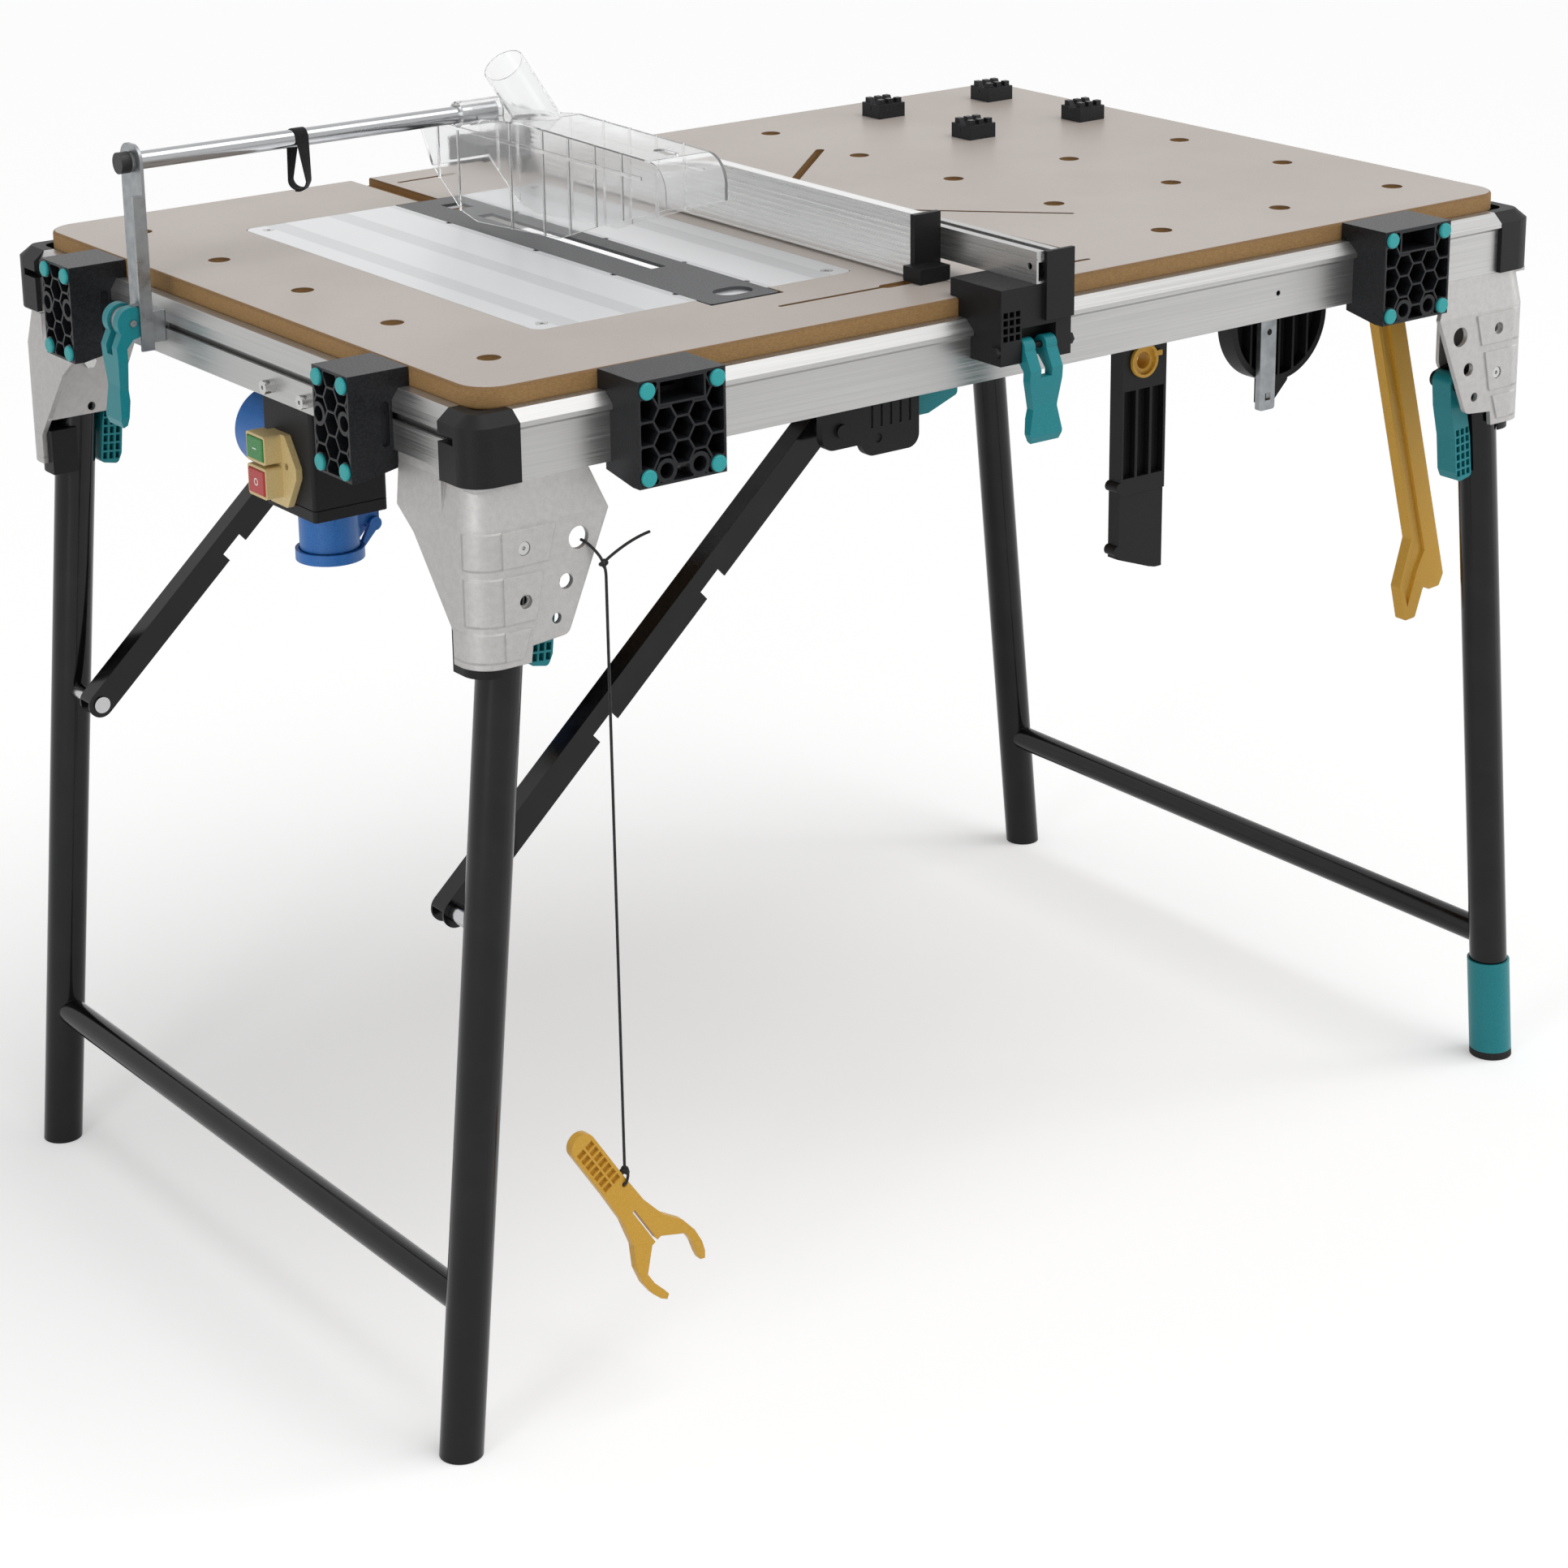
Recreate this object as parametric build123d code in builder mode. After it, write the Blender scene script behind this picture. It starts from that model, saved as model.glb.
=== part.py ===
from build123d import *
import os
from math import atan2, cos, degrees, hypot, radians, sin, tan, pi

# A folding machine table: two boards in an aluminium frame on four splayed steel legs, with a
# saw insert, a blade guard on an arm, a rip fence, clamping blocks and tools hung underneath.
# X runs along the table to the right, Y runs to the back, Z is up. The origin is on the floor
# under the middle of the table. All lengths are in millimetres.

os.makedirs("parts", exist_ok=True)

# Driving sizes of the table
table_height = 920
board_length = 1160
board_width = 760
board_thickness = 19
board_corner_radius = 30
board_edge_round = 3
board_joint_x = -66
board_joint_gap = 1

# Driving sizes of the frame rails, measured outwards from the boards' edge and down from the rail
rail_drop = 16
rail_shelf = 16
rail_face = 17
rail_lip = 21.5
rail_ledge = 11
rail_gap = 1
rail_wall = 2.5
long_rail_height = 57
short_rail_height = 50
lip_high_drop = 9
lip_low_drop = 13
lip_root_drop = 16
slot_drop = 18.5
slot_width = 6.5
slot_lip = 2.5
slot_pocket_depth = 4.5
slot_pocket_extra = 4
rail_end_inset = 25

# Driving sizes of the legs
leg_diameter = 38
leg_wall = 1.5
leg_line_y = 375
leg_lean = 5.5
pivot_x = 556
pivot_drop_left = 127
pivot_drop_right = 171
foot_plug = 12
head_radius = 19.5
crossbar_diameter = 27
crossbar_wall = 1.5
crossbar_height = 137

# Driving sizes of the struts
strut_foot_height = 467
strut_top_x = 205
strut_top_drop = 104
strut_line_y = 320
strut_width = 20
strut_depth = 26
strut_wall = 2

# Clearances and small sizes that many pieces share
cut_over = 1
running_gap = 0.05
side_gap = 0.3
bolt_radius = 4
small_pin_radius = 3

# Heights and edges that follow from the driving sizes
board_low = table_height - board_thickness
rail_top = table_height - rail_drop
long_rail_low = rail_top - long_rail_height
short_rail_low = rail_top - short_rail_height
half_length = board_length / 2
half_width = board_width / 2
rail_end_x = half_length - rail_end_inset
rail_end_y = half_width - rail_end_inset
rail_inner_y = half_width - rail_shelf
pivot_z_left = table_height - pivot_drop_left
pivot_z_right = table_height - pivot_drop_right
leg_radius = leg_diameter / 2


def save(builder, name):
    """Label a finished piece and write it as its own file."""
    builder.part.label = name
    export_step(builder.part, "parts/" + name + ".step")


def across(y):
    """A plane facing the front of the table at a given distance back."""
    return Plane.XZ.offset(-y)


def along(x):
    """A plane facing the right of the table at a given distance along."""
    return Plane.YZ.offset(x)


def level(z):
    """A level plane at a given height."""
    return Plane.XY.offset(z)


def spread(shares, width, height, x=0, z=0):
    """Points given as shares of a width and a height, measured from a corner."""
    return [(x + a * width, z + b * height) for a, b in shares]


def at_corner(shape, side_x, side_y):
    """A copy of a shape made for the back right corner, mirrored to another corner."""
    if side_x < 0:
        shape = mirror(shape, about=Plane.YZ, mode=Mode.PRIVATE)
    if side_y < 0:
        shape = mirror(shape, about=Plane.XZ, mode=Mode.PRIVATE)
    return shape


corners = (
    ("back_right", 1, 1),
    ("back_left", -1, 1),
    ("front_right", 1, -1),
    ("front_left", -1, -1),
)

# The boards: 20 mm clamping holes, jig slots, and in the left board the seat of the saw plate
hole_radius = 10
hole_pitch = 150
hole_row_x = -516
hole_grid_x = 63
hole_middle_y = 3
hole_rows = 5
hole_columns = 4
plate_length = 496
plate_width = 333
plate_left = -438
plate_front = -246
plate_thickness = 6
plate_fit = 0.5
plate_corner_radius = 10
plate_seat = 20
screw_inset = 17
screw_radius = 3
screw_head_radius = 6
insert_width = 73
insert_length = 515
insert_front = -266
insert_left = -274
insert_thickness = 3
insert_round = 4
insert_recess_side = 2
insert_recess_ahead = 4
insert_recess_depth = 11
channel_width = 22
channel_left = -248
channel_depth = 8
jig_slot_width = 5
jig_slot_wide = 9
jig_slot_depth = 12
fence_recess_width = 13
fence_recess_depth = 5
groove_shares = (
    (0.679, -0.405, 0.913, -0.407),
    (0.710, 0.447, 0.835, 0.449),
)
fence_recess_share = (0.899, -0.406, 0.948, -0.406)
jig_slot_shares = (
    (0.240, -0.107, 0.407, -0.251),
    (0.242, -0.296, 0.245, -0.397),
    (0.164, -0.449, 0.231, -0.450),
    (0.183, 0.463, 0.228, 0.461),
    (0.238, 0.409, 0.243, 0.311),
)
wide_slot_share = (0.237, 0.126, 0.410, 0.263)
machine_board_length = half_length + board_joint_x
work_board_length = half_length - board_joint_x
plate_middle = (plate_left + plate_width / 2, plate_front + plate_length / 2)
insert_middle_x = insert_left + insert_width / 2
screw_pitch_x = plate_width - 2 * screw_inset
screw_pitch_y = plate_length - 2 * screw_inset


def jig_slot(share, left, length, width, depth):
    """A round-ended block for cutting a groove between two points of a board's top."""
    x0 = left + share[0] * length
    x1 = left + share[2] * length
    y0 = share[1] * board_width
    y1 = share[3] * board_width
    turn = degrees(atan2(y1 - y0, x1 - x0))
    with BuildPart(mode=Mode.PRIVATE) as groove:
        with BuildSketch(level(table_height)):
            with Locations(Location(((x0 + x1) / 2, (y0 + y1) / 2, 0), (0, 0, turn))):
                SlotCenterToCenter(hypot(x1 - x0, y1 - y0), width)
        extrude(amount=-depth)
    return groove.part


def board_blank(left, right, outer):
    """A board with two rounded corners on its outer end and eased edges all round."""
    with BuildPart(mode=Mode.PRIVATE) as blank:
        with BuildSketch(level(board_low)):
            with Locations(((left + right) / 2, 0)):
                Rectangle(right - left, board_width)
            fillet(vertices().group_by(Axis.X)[outer], board_corner_radius)
        extrude(amount=board_thickness)
        joint_side = -1 if outer == 0 else 0
        joint = edges().group_by(Axis.X)[joint_side]
        rim = faces().filter_by(Axis.Z).edges()
        fillet([edge for edge in rim if edge not in joint], board_edge_round)
    return blank.part


machine_blank = board_blank(-half_length, board_joint_x - board_joint_gap / 2, 0)
machine_grooves = [
    jig_slot(share, -half_length, machine_board_length, jig_slot_width, jig_slot_depth)
    for share in groove_shares
]
fence_recess = jig_slot(
    fence_recess_share, -half_length, machine_board_length, fence_recess_width, fence_recess_depth
)
with BuildPart() as machine_board:
    add(machine_blank)
    with BuildSketch(level(table_height)):
        with Locations((hole_row_x, hole_middle_y)):
            with GridLocations(0, hole_pitch, 1, hole_rows):
                Circle(hole_radius)
        with Locations(plate_middle):
            RectangleRounded(plate_width - 2 * plate_seat, plate_length - 2 * plate_seat, plate_corner_radius)
            with GridLocations(screw_pitch_x, screw_pitch_y, 2, 2):
                Circle(screw_radius + running_gap)
    extrude(amount=-board_thickness, mode=Mode.SUBTRACT)
    with BuildSketch(level(table_height)):
        with Locations(plate_middle):
            RectangleRounded(plate_width + 2 * plate_fit, plate_length + 2 * plate_fit, plate_corner_radius)
    extrude(amount=-plate_thickness, mode=Mode.SUBTRACT)
    with BuildSketch(level(table_height)):
        recess_low = insert_front - insert_recess_ahead
        recess_high = plate_front + plate_seat
        with Locations((insert_middle_x, (recess_low + recess_high) / 2)):
            Rectangle(insert_width + 2 * insert_recess_side, recess_high - recess_low)
    extrude(amount=-insert_recess_depth, mode=Mode.SUBTRACT)
    with BuildSketch(level(table_height)):
        channel_start = plate_front + plate_length
        with Locations((channel_left + channel_width / 2, (channel_start + half_width) / 2)):
            Rectangle(channel_width, half_width - channel_start + 2 * cut_over)
    extrude(amount=-channel_depth, mode=Mode.SUBTRACT)
    add([*machine_grooves, fence_recess], mode=Mode.SUBTRACT)
save(machine_board, "machine_board")

work_blank = board_blank(board_joint_x + board_joint_gap / 2, half_length, -1)
work_slots = [
    jig_slot(share, board_joint_x, work_board_length, jig_slot_width, jig_slot_depth)
    for share in jig_slot_shares
]
wide_slot = jig_slot(wide_slot_share, board_joint_x, work_board_length, jig_slot_wide, jig_slot_depth)
with BuildPart() as work_board:
    add(work_blank)
    with BuildSketch(level(table_height)):
        with Locations((hole_grid_x + (hole_columns - 1) * hole_pitch / 2, hole_middle_y)):
            with GridLocations(hole_pitch, hole_pitch, hole_columns, hole_rows):
                Circle(hole_radius)
    extrude(amount=-board_thickness, mode=Mode.SUBTRACT)
    add([*work_slots, wide_slot], mode=Mode.SUBTRACT)
save(work_board, "work_board")

# The aluminium saw plate, with a stepped seat for the insert, thumb notches and sunk screws
plate_opening_width = 49
plate_opening_end = 24
thumb_radius = 4
thumb_shares = (0.80, 0.50, 0.25, 0.06)
with BuildPart() as machine_plate:
    with BuildSketch(level(table_height)):
        with Locations(plate_middle):
            RectangleRounded(plate_width, plate_length, plate_corner_radius)
    extrude(amount=-plate_thickness)
    with BuildSketch(level(table_height)):
        with Locations((insert_middle_x, plate_middle[1])):
            Rectangle(insert_width + 2 * side_gap, plate_length + 2 * cut_over)
        for side in (-1, 1):
            for share in thumb_shares:
                with Locations((insert_middle_x + side * insert_width / 2, plate_front + share * plate_length)):
                    Circle(thumb_radius)
    extrude(amount=-insert_thickness, mode=Mode.SUBTRACT)
    with BuildSketch(level(table_height)):
        with Locations((insert_middle_x, plate_middle[1])):
            Rectangle(plate_opening_width, plate_length - 2 * plate_opening_end)
    extrude(amount=-plate_thickness, mode=Mode.SUBTRACT)
    with Locations((plate_middle[0], plate_middle[1], table_height)):
        with GridLocations(screw_pitch_x, screw_pitch_y, 2, 2):
            CounterSinkHole(screw_radius + running_gap, screw_head_radius, counter_sink_angle=90)
save(machine_plate, "machine_plate")

# The grey insert round the saw blade: blade slot, sight window and a finger hole at its front
blade_slot_width = 16
blade_slot_left = -237
blade_slot_front = -125
blade_slot_back = 161
sight_width = 22
sight_length = 26
sight_y = 210
finger_width = 37
finger_length = 26
finger_x = -230
finger_y = -237
with BuildPart() as blade_insert:
    with BuildSketch(level(table_height)):
        with Locations((insert_middle_x, insert_front + insert_length / 2)):
            RectangleRounded(insert_width, insert_length, insert_round)
        blade_slot_middle = blade_slot_left + blade_slot_width / 2
        with Locations((blade_slot_middle, (blade_slot_front + blade_slot_back) / 2)):
            Rectangle(blade_slot_width, blade_slot_back - blade_slot_front, mode=Mode.SUBTRACT)
        with Locations((blade_slot_middle, sight_y)):
            Rectangle(sight_width, sight_length, mode=Mode.SUBTRACT)
        with Locations((finger_x, finger_y)):
            SlotOverall(finger_width, finger_length, mode=Mode.SUBTRACT)
    extrude(amount=-insert_thickness)
save(blade_insert, "blade_insert")

# The frame rails: hollow extrusions with a shelf for the boards and a ruler ledge. The long ones
# have a lip for the clamps to hook under, the short ones a slot for sliding bolts.
rail_hole_x = 266
rail_hole_drop = 33
rail_hole_radius = 2.5
long_rail_points = (
    (-rail_shelf, long_rail_low),
    (rail_face, long_rail_low),
    (rail_face, rail_top - lip_root_drop),
    (rail_lip, rail_top - lip_low_drop),
    (rail_lip, rail_top - lip_high_drop),
    (rail_ledge, rail_top),
    (rail_gap, rail_top),
    (rail_gap, board_low),
    (-rail_shelf, board_low),
)
long_rail_chamber = (
    (-rail_shelf + rail_wall, long_rail_low + rail_wall),
    (rail_face - rail_wall, long_rail_low + rail_wall),
    (rail_face - rail_wall, rail_top - lip_high_drop),
    (rail_ledge - rail_wall / 2, rail_top - rail_wall),
    (rail_gap + rail_wall, rail_top - rail_wall),
    (rail_gap + rail_wall, board_low - rail_wall),
    (-rail_shelf + rail_wall, board_low - rail_wall),
)
slot_low = rail_top - slot_drop - slot_width
slot_high = rail_top - slot_drop
slot_mouth = rail_face - slot_lip
slot_floor = slot_mouth - slot_pocket_depth
short_rail_points = (
    (-rail_shelf, short_rail_low),
    (rail_face, short_rail_low),
    (rail_face, slot_low),
    (slot_mouth, slot_low),
    (slot_mouth, slot_low - slot_pocket_extra),
    (slot_floor, slot_low - slot_pocket_extra),
    (slot_floor, slot_high + slot_pocket_extra),
    (slot_mouth, slot_high + slot_pocket_extra),
    (slot_mouth, slot_high),
    (rail_face, slot_high),
    (rail_face, rail_top - lip_high_drop),
    (rail_ledge, rail_top),
    (rail_gap, rail_top),
    (rail_gap, board_low),
    (-rail_shelf, board_low),
)
short_rail_chamber = (
    (-rail_shelf + rail_wall, short_rail_low + rail_wall),
    (rail_face - rail_wall, short_rail_low + rail_wall),
    (rail_face - rail_wall, slot_low - slot_pocket_extra - rail_wall),
    (slot_floor - rail_wall, slot_low - slot_pocket_extra - rail_wall),
    (slot_floor - rail_wall, board_low - rail_wall),
    (-rail_shelf + rail_wall, board_low - rail_wall),
)


def from_edge(points, edge, side):
    """Points of a rail's section, given outwards from the boards' edge, on one side."""
    return [(side * (edge + out), height) for out, height in points]


for name, side in (("rail_front", -1), ("rail_back", 1)):
    with BuildPart() as rail:
        with BuildSketch(along(-rail_end_x)):
            with BuildLine():
                Polyline(from_edge(long_rail_points, half_width, side), close=True)
            make_face()
            with BuildLine():
                Polyline(from_edge(long_rail_chamber, half_width, side), close=True)
            make_face(mode=Mode.SUBTRACT)
        extrude(amount=2 * rail_end_x)
        with BuildSketch(across(side * (half_width + rail_face))):
            with Locations((rail_hole_x, rail_top - rail_hole_drop)):
                Circle(rail_hole_radius)
        extrude(amount=2 * rail_wall, both=True, mode=Mode.SUBTRACT)
    save(rail, name)

for name, side in (("rail_left", -1), ("rail_right", 1)):
    with BuildPart() as rail:
        with BuildSketch(across(rail_end_y)):
            with BuildLine():
                Polyline(from_edge(short_rail_points, half_length, side), close=True)
            make_face()
            with BuildLine():
                Polyline(from_edge(short_rail_chamber, half_length, side), close=True)
            make_face(mode=Mode.SUBTRACT)
        extrude(amount=2 * rail_end_y)
    save(rail, name)

# Black corner caps: they carry the rails' chamfer round the corner and leave a pocket at the
# boards' rounded corner. The clamping slot runs on into their short side.
cap_out = 22
cap_round = 22
cap_pocket = 16
cap_pocket_round = 12
cap_pocket_depth = 24
cap_slot_run = 22
cap_slot_depth = 9
cap_size = rail_end_inset + cap_out
cap_corner = (half_length + cap_out, half_width + cap_out)
cap_pocket_corner = (half_length + rail_gap, half_width + rail_gap)
cap_low = long_rail_low


def inward_square(corner, size, radius):
    """A square that ends at the given corner, with that corner rounded."""
    with BuildSketch(mode=Mode.PRIVATE) as square:
        with Locations((corner[0] - size / 2, corner[1] - size / 2)):
            Rectangle(size, size)
        fillet(vertices().sort_by(Axis.X)[-2:].sort_by(Axis.Y)[-1], radius)
    return square.sketch


with BuildPart() as corner_cap:
    with BuildSketch(level(cap_low)):
        add(inward_square(cap_corner, cap_size, cap_round))
    extrude(amount=rail_top - cap_low)
    cap_top = faces().sort_by(Axis.Z)[-1]
    rim_line = cap_corner[0] + cap_corner[1] - cap_size - cut_over
    outer_rim = [edge for edge in cap_top.edges() if edge.center().X + edge.center().Y > rim_line]
    chamfer(outer_rim, length=cap_out - rail_ledge, length2=lip_high_drop, reference=cap_top)
    with BuildSketch(level(rail_top)):
        add(inward_square(cap_pocket_corner, cap_size, cap_pocket_round))
    extrude(amount=board_low - rail_top, mode=Mode.SUBTRACT)
    with BuildSketch(level(rail_top)):
        add(inward_square(cap_pocket_corner, cap_pocket, cap_pocket_round))
    extrude(amount=-cap_pocket_depth, mode=Mode.SUBTRACT)
    with BuildSketch(along(half_length + cap_out)):
        with Locations((rail_end_y + cap_slot_run / 2, slot_low + slot_width / 2)):
            Rectangle(cap_slot_run, slot_width)
    extrude(amount=-cap_slot_depth, mode=Mode.SUBTRACT)
with BuildPart() as corner_caps:
    for name, side_x, side_y in corners:
        add(at_corner(corner_cap.part, side_x, side_y))
save(corner_caps, "corner_caps")

# A box beam under the joint of the two boards, from long rail to long rail
beam_width = 40
beam_depth = 30
beam_wall = 2
with BuildPart() as cross_beam:
    with BuildSketch(across(rail_inner_y)):
        with Locations((board_joint_x, board_low - beam_depth / 2)):
            Rectangle(beam_width, beam_depth)
            Rectangle(beam_width - 2 * beam_wall, beam_depth - 2 * beam_wall, mode=Mode.SUBTRACT)
    extrude(amount=2 * rail_inner_y)
save(cross_beam, "cross_beam")

# Cast aluminium leg brackets. A wall wraps the corner of the frame, flush with the rails at its
# top, flaring below them and tapering to a toe round the leg. A cheek inside it makes the second
# bearing of the leg's bolt. Each bracket is drilled for both pivot heights.
bracket_out = 22
bracket_wall = 5
bracket_round = 26
bracket_flare_drop = 35
bracket_drop = 150
bracket_front_top = 112
bracket_front_wide = 127
bracket_front_low = 86
bracket_front_rise = 17
bracket_toe = 52
bracket_toe_low = 50
bracket_toe_rise = 14
bracket_side_top = 117
bracket_side_wide = 114
bracket_side_mid = 90
bracket_side_mid_drop = 53
bracket_side_toe = 36
bracket_side_toe_rise = 28
bracket_flange = 4
bracket_blend = 8
cheek_thickness = 4
cheek_reach = 75
cheek_drop = 104
cheek_gap = 1
vent_radii = (9.5, 6.5, 4.5)
vent_x_shares = (0.771, 0.669, 0.591)
vent_drop_shares = (0.367, 0.593, 0.787)
socket_radius = 5.8
socket_depth = 3.2
panel_proud = 1.2
panel_start = 26
panel_reach_shares = (0.60, 0.50, 0.40)
panel_low_shares = (0.36, 0.05, -0.15)
panel_high_shares = (0.56, 0.31, 0.01)
bracket_low = long_rail_low - bracket_drop
flare_z = long_rail_low - bracket_flare_drop
bracket_x = half_length + bracket_out
bracket_y = half_width + bracket_out
cheek_y = leg_line_y - leg_radius - cheek_gap


def corner_band(low, high, out_low, out_high):
    """A wall round the back right corner between two heights, each with its own overhang."""
    with BuildPart(mode=Mode.PRIVATE) as band:
        for height, out in ((low, out_low), (high, out_high)):
            x1 = half_length + out
            y1 = half_width + out
            inner = bracket_round - bracket_wall
            with BuildSketch(level(height)):
                with BuildLine():
                    Polyline(
                        (x1 - bracket_round, y1),
                        (x1 - bracket_front_wide, y1),
                        (x1 - bracket_front_wide, y1 - bracket_wall),
                        (x1 - bracket_round, y1 - bracket_wall),
                    )
                    CenterArc((x1 - bracket_round, y1 - bracket_round), inner, 90, -90)
                    Polyline(
                        (x1 - bracket_wall, y1 - bracket_round),
                        (x1 - bracket_wall, y1 - bracket_side_top),
                        (x1, y1 - bracket_side_top),
                        (x1, y1 - bracket_round),
                    )
                    CenterArc((x1 - bracket_round, y1 - bracket_round), bracket_round, 0, 90)
                make_face()
        loft(ruled=True)
    return band.part


flare_band = corner_band(flare_z, long_rail_low, bracket_out, rail_face)
lower_band = corner_band(bracket_low, flare_z, bracket_out, bracket_out)
with BuildPart() as bracket:
    add(flare_band)
    add(lower_band)
    # the front wall is trimmed to its flared and tapered outline
    with BuildSketch(across(bracket_y + cut_over)):
        with BuildLine():
            Polyline(
                (bracket_x - bracket_front_wide - 2 * bracket_wall, bracket_low - cut_over),
                (bracket_x - bracket_toe_low, bracket_low - cut_over),
                (bracket_x - bracket_toe, bracket_low + bracket_toe_rise),
                (bracket_x - bracket_front_low, bracket_low + bracket_front_rise),
                (bracket_x - bracket_front_wide, flare_z),
                (bracket_x - bracket_front_top, long_rail_low + cut_over),
                (bracket_x - bracket_front_wide - 2 * bracket_wall, long_rail_low + cut_over),
                close=True,
            )
        make_face()
        blend_near = (bracket_x - bracket_front_low, bracket_low + bracket_front_rise)
        fillet(vertices().sort_by_distance(blend_near)[0], bracket_blend)
    extrude(amount=2 * bracket_wall + 2 * cut_over, mode=Mode.SUBTRACT)
    # the side wall is cut back to follow the leg
    with BuildSketch(along(bracket_x + cut_over)):
        with BuildLine():
            Polyline(
                (bracket_y - bracket_side_top - 2 * bracket_wall, bracket_low - cut_over),
                (bracket_y - bracket_side_toe, bracket_low - cut_over),
                (bracket_y - bracket_side_toe, bracket_low + bracket_side_toe_rise),
                (bracket_y - bracket_side_mid, long_rail_low - bracket_side_mid_drop),
                (bracket_y - bracket_side_wide, flare_z),
                (bracket_y - bracket_side_top, long_rail_low + cut_over),
                (bracket_y - bracket_side_top - 2 * bracket_wall, long_rail_low + cut_over),
                close=True,
            )
        make_face()
    extrude(amount=-2 * bracket_wall - 2 * cut_over, mode=Mode.SUBTRACT)
    # a strip fills the step up to the shallower short rail
    with BuildSketch(level(long_rail_low - cut_over)):
        strip_back = rail_end_y
        strip_front = bracket_y - bracket_side_top
        with Locations((half_length + rail_face - bracket_wall / 2, (strip_back + strip_front) / 2)):
            Rectangle(bracket_wall, strip_back - strip_front)
    extrude(amount=short_rail_low - long_rail_low + cut_over)
    # flange under the rail, and the inner cheek
    flange_left = bracket_x - bracket_front_top
    flange_right = half_length + rail_face - cut_over
    flange_back = half_width + rail_face - cut_over
    flange_front = cheek_y - cheek_thickness
    with BuildSketch(level(long_rail_low)):
        with Locations(((flange_left + flange_right) / 2, (flange_front + flange_back) / 2)):
            Rectangle(flange_right - flange_left, flange_back - flange_front)
    extrude(amount=-bracket_flange)
    with BuildSketch(across(cheek_y)):
        cheek_right = bracket_x - cut_over
        cheek_top = long_rail_low - cut_over
        with Locations((cheek_right - cheek_reach / 2, cheek_top - cheek_drop / 2)):
            Rectangle(cheek_reach, cheek_drop)
        fillet(vertices().group_by(Axis.Y)[0].sort_by(Axis.X)[0], 2 * bracket_blend)
    extrude(amount=cheek_thickness)
    # two panels and a ring stand proud of the front wall
    for reach, low, high in zip(panel_reach_shares, panel_low_shares, panel_high_shares):
        panel_right = bracket_x - panel_start
        panel_left = bracket_x - reach * bracket_front_wide
        panel_low = bracket_low + low * bracket_drop + bracket_side_toe_rise
        panel_high = bracket_low + high * bracket_drop + bracket_side_toe_rise
        with BuildSketch(across(bracket_y)):
            with BuildLine():
                Polyline(
                    (panel_right, max(panel_low, bracket_low)),
                    (panel_left + bracket_blend, max(panel_low, bracket_low)),
                    (panel_left, panel_high),
                    (panel_right, panel_high),
                    close=True,
                )
            make_face()
        extrude(amount=-panel_proud)
    # vents and the two pivot holes, each with a counterbore in the outer wall
    with BuildSketch(across(bracket_y + 2 * panel_proud)):
        for radius, x_share, drop_share in zip(vent_radii, vent_x_shares, vent_drop_shares):
            with Locations((bracket_x - x_share * bracket_front_wide, long_rail_low - drop_share * bracket_drop)):
                Circle(radius)
    extrude(amount=bracket_wall + 3 * panel_proud, mode=Mode.SUBTRACT)
    with BuildSketch(across(bracket_y + 2 * panel_proud)):
        with Locations((pivot_x, pivot_z_left), (pivot_x, pivot_z_right)):
            Circle(bolt_radius + running_gap)
    extrude(amount=bracket_y, mode=Mode.SUBTRACT)
    with BuildSketch(across(bracket_y + 2 * panel_proud)):
        with Locations((pivot_x, pivot_z_left), (pivot_x, pivot_z_right)):
            Circle(socket_radius)
    extrude(amount=socket_depth + 2 * panel_proud, mode=Mode.SUBTRACT)

for name, side_x, side_y in corners:
    with BuildPart() as placed_bracket:
        add(at_corner(bracket.part, side_x, side_y))
    save(placed_bracket, "bracket_" + name)

# Black pads between each leg and the side wall of its bracket, shaped to the leg
stop_width = 38
stop_height = 43
stop_below = 10
stop_inner = 26
stop_round = 22


def leg_axis_x(pivot_z, height):
    """Distance from the table's middle to a leg's axis at a given height."""
    return pivot_x + (pivot_z - height) * tan(radians(leg_lean))


def leg_plane(pivot_z, y):
    """A plane square to a right-hand leg at its bolt, facing down the leg."""
    lean = radians(leg_lean)
    return Plane(origin=(pivot_x, y, pivot_z), x_dir=(0, 1, 0), z_dir=(sin(lean), 0, -cos(lean)))


def leg_side_plane(pivot_z, y):
    """A plane through a right-hand leg's axis: local X points inwards, local Y up the leg."""
    lean = radians(leg_lean)
    return Plane(origin=(pivot_x, y, pivot_z), x_dir=(-cos(lean), 0, -sin(lean)), z_dir=(0, 1, 0))


def leg_rod(pivot_z, radius, start, end):
    """A round bar along the back right leg between two distances below its bolt."""
    with BuildPart(mode=Mode.PRIVATE) as rod:
        with BuildSketch(leg_plane(pivot_z, leg_line_y).offset(start)):
            Circle(radius)
        extrude(amount=end - start)
    return rod.part


def leg_stop(pivot_z):
    """The pad of the back right leg."""
    leg = leg_rod(pivot_z, head_radius + side_gap, -stop_height, 4 * stop_height)
    with BuildPart(mode=Mode.PRIVATE) as stop:
        with BuildSketch(level(bracket_low - stop_below)):
            with Locations((bracket_x - bracket_wall - stop_inner / 2, leg_line_y)):
                Rectangle(stop_inner, stop_width)
            fillet(vertices().group_by(Axis.X)[-1].sort_by(Axis.Y)[-1], stop_round)
        extrude(amount=stop_height)
        add(leg, mode=Mode.SUBTRACT)
    return stop.part


with BuildPart() as leg_stops:
    for name, side_x, side_y in corners:
        add(at_corner(leg_stop(pivot_z_left if side_x < 0 else pivot_z_right), side_x, side_y))
save(leg_stops, "leg_stops")

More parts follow.
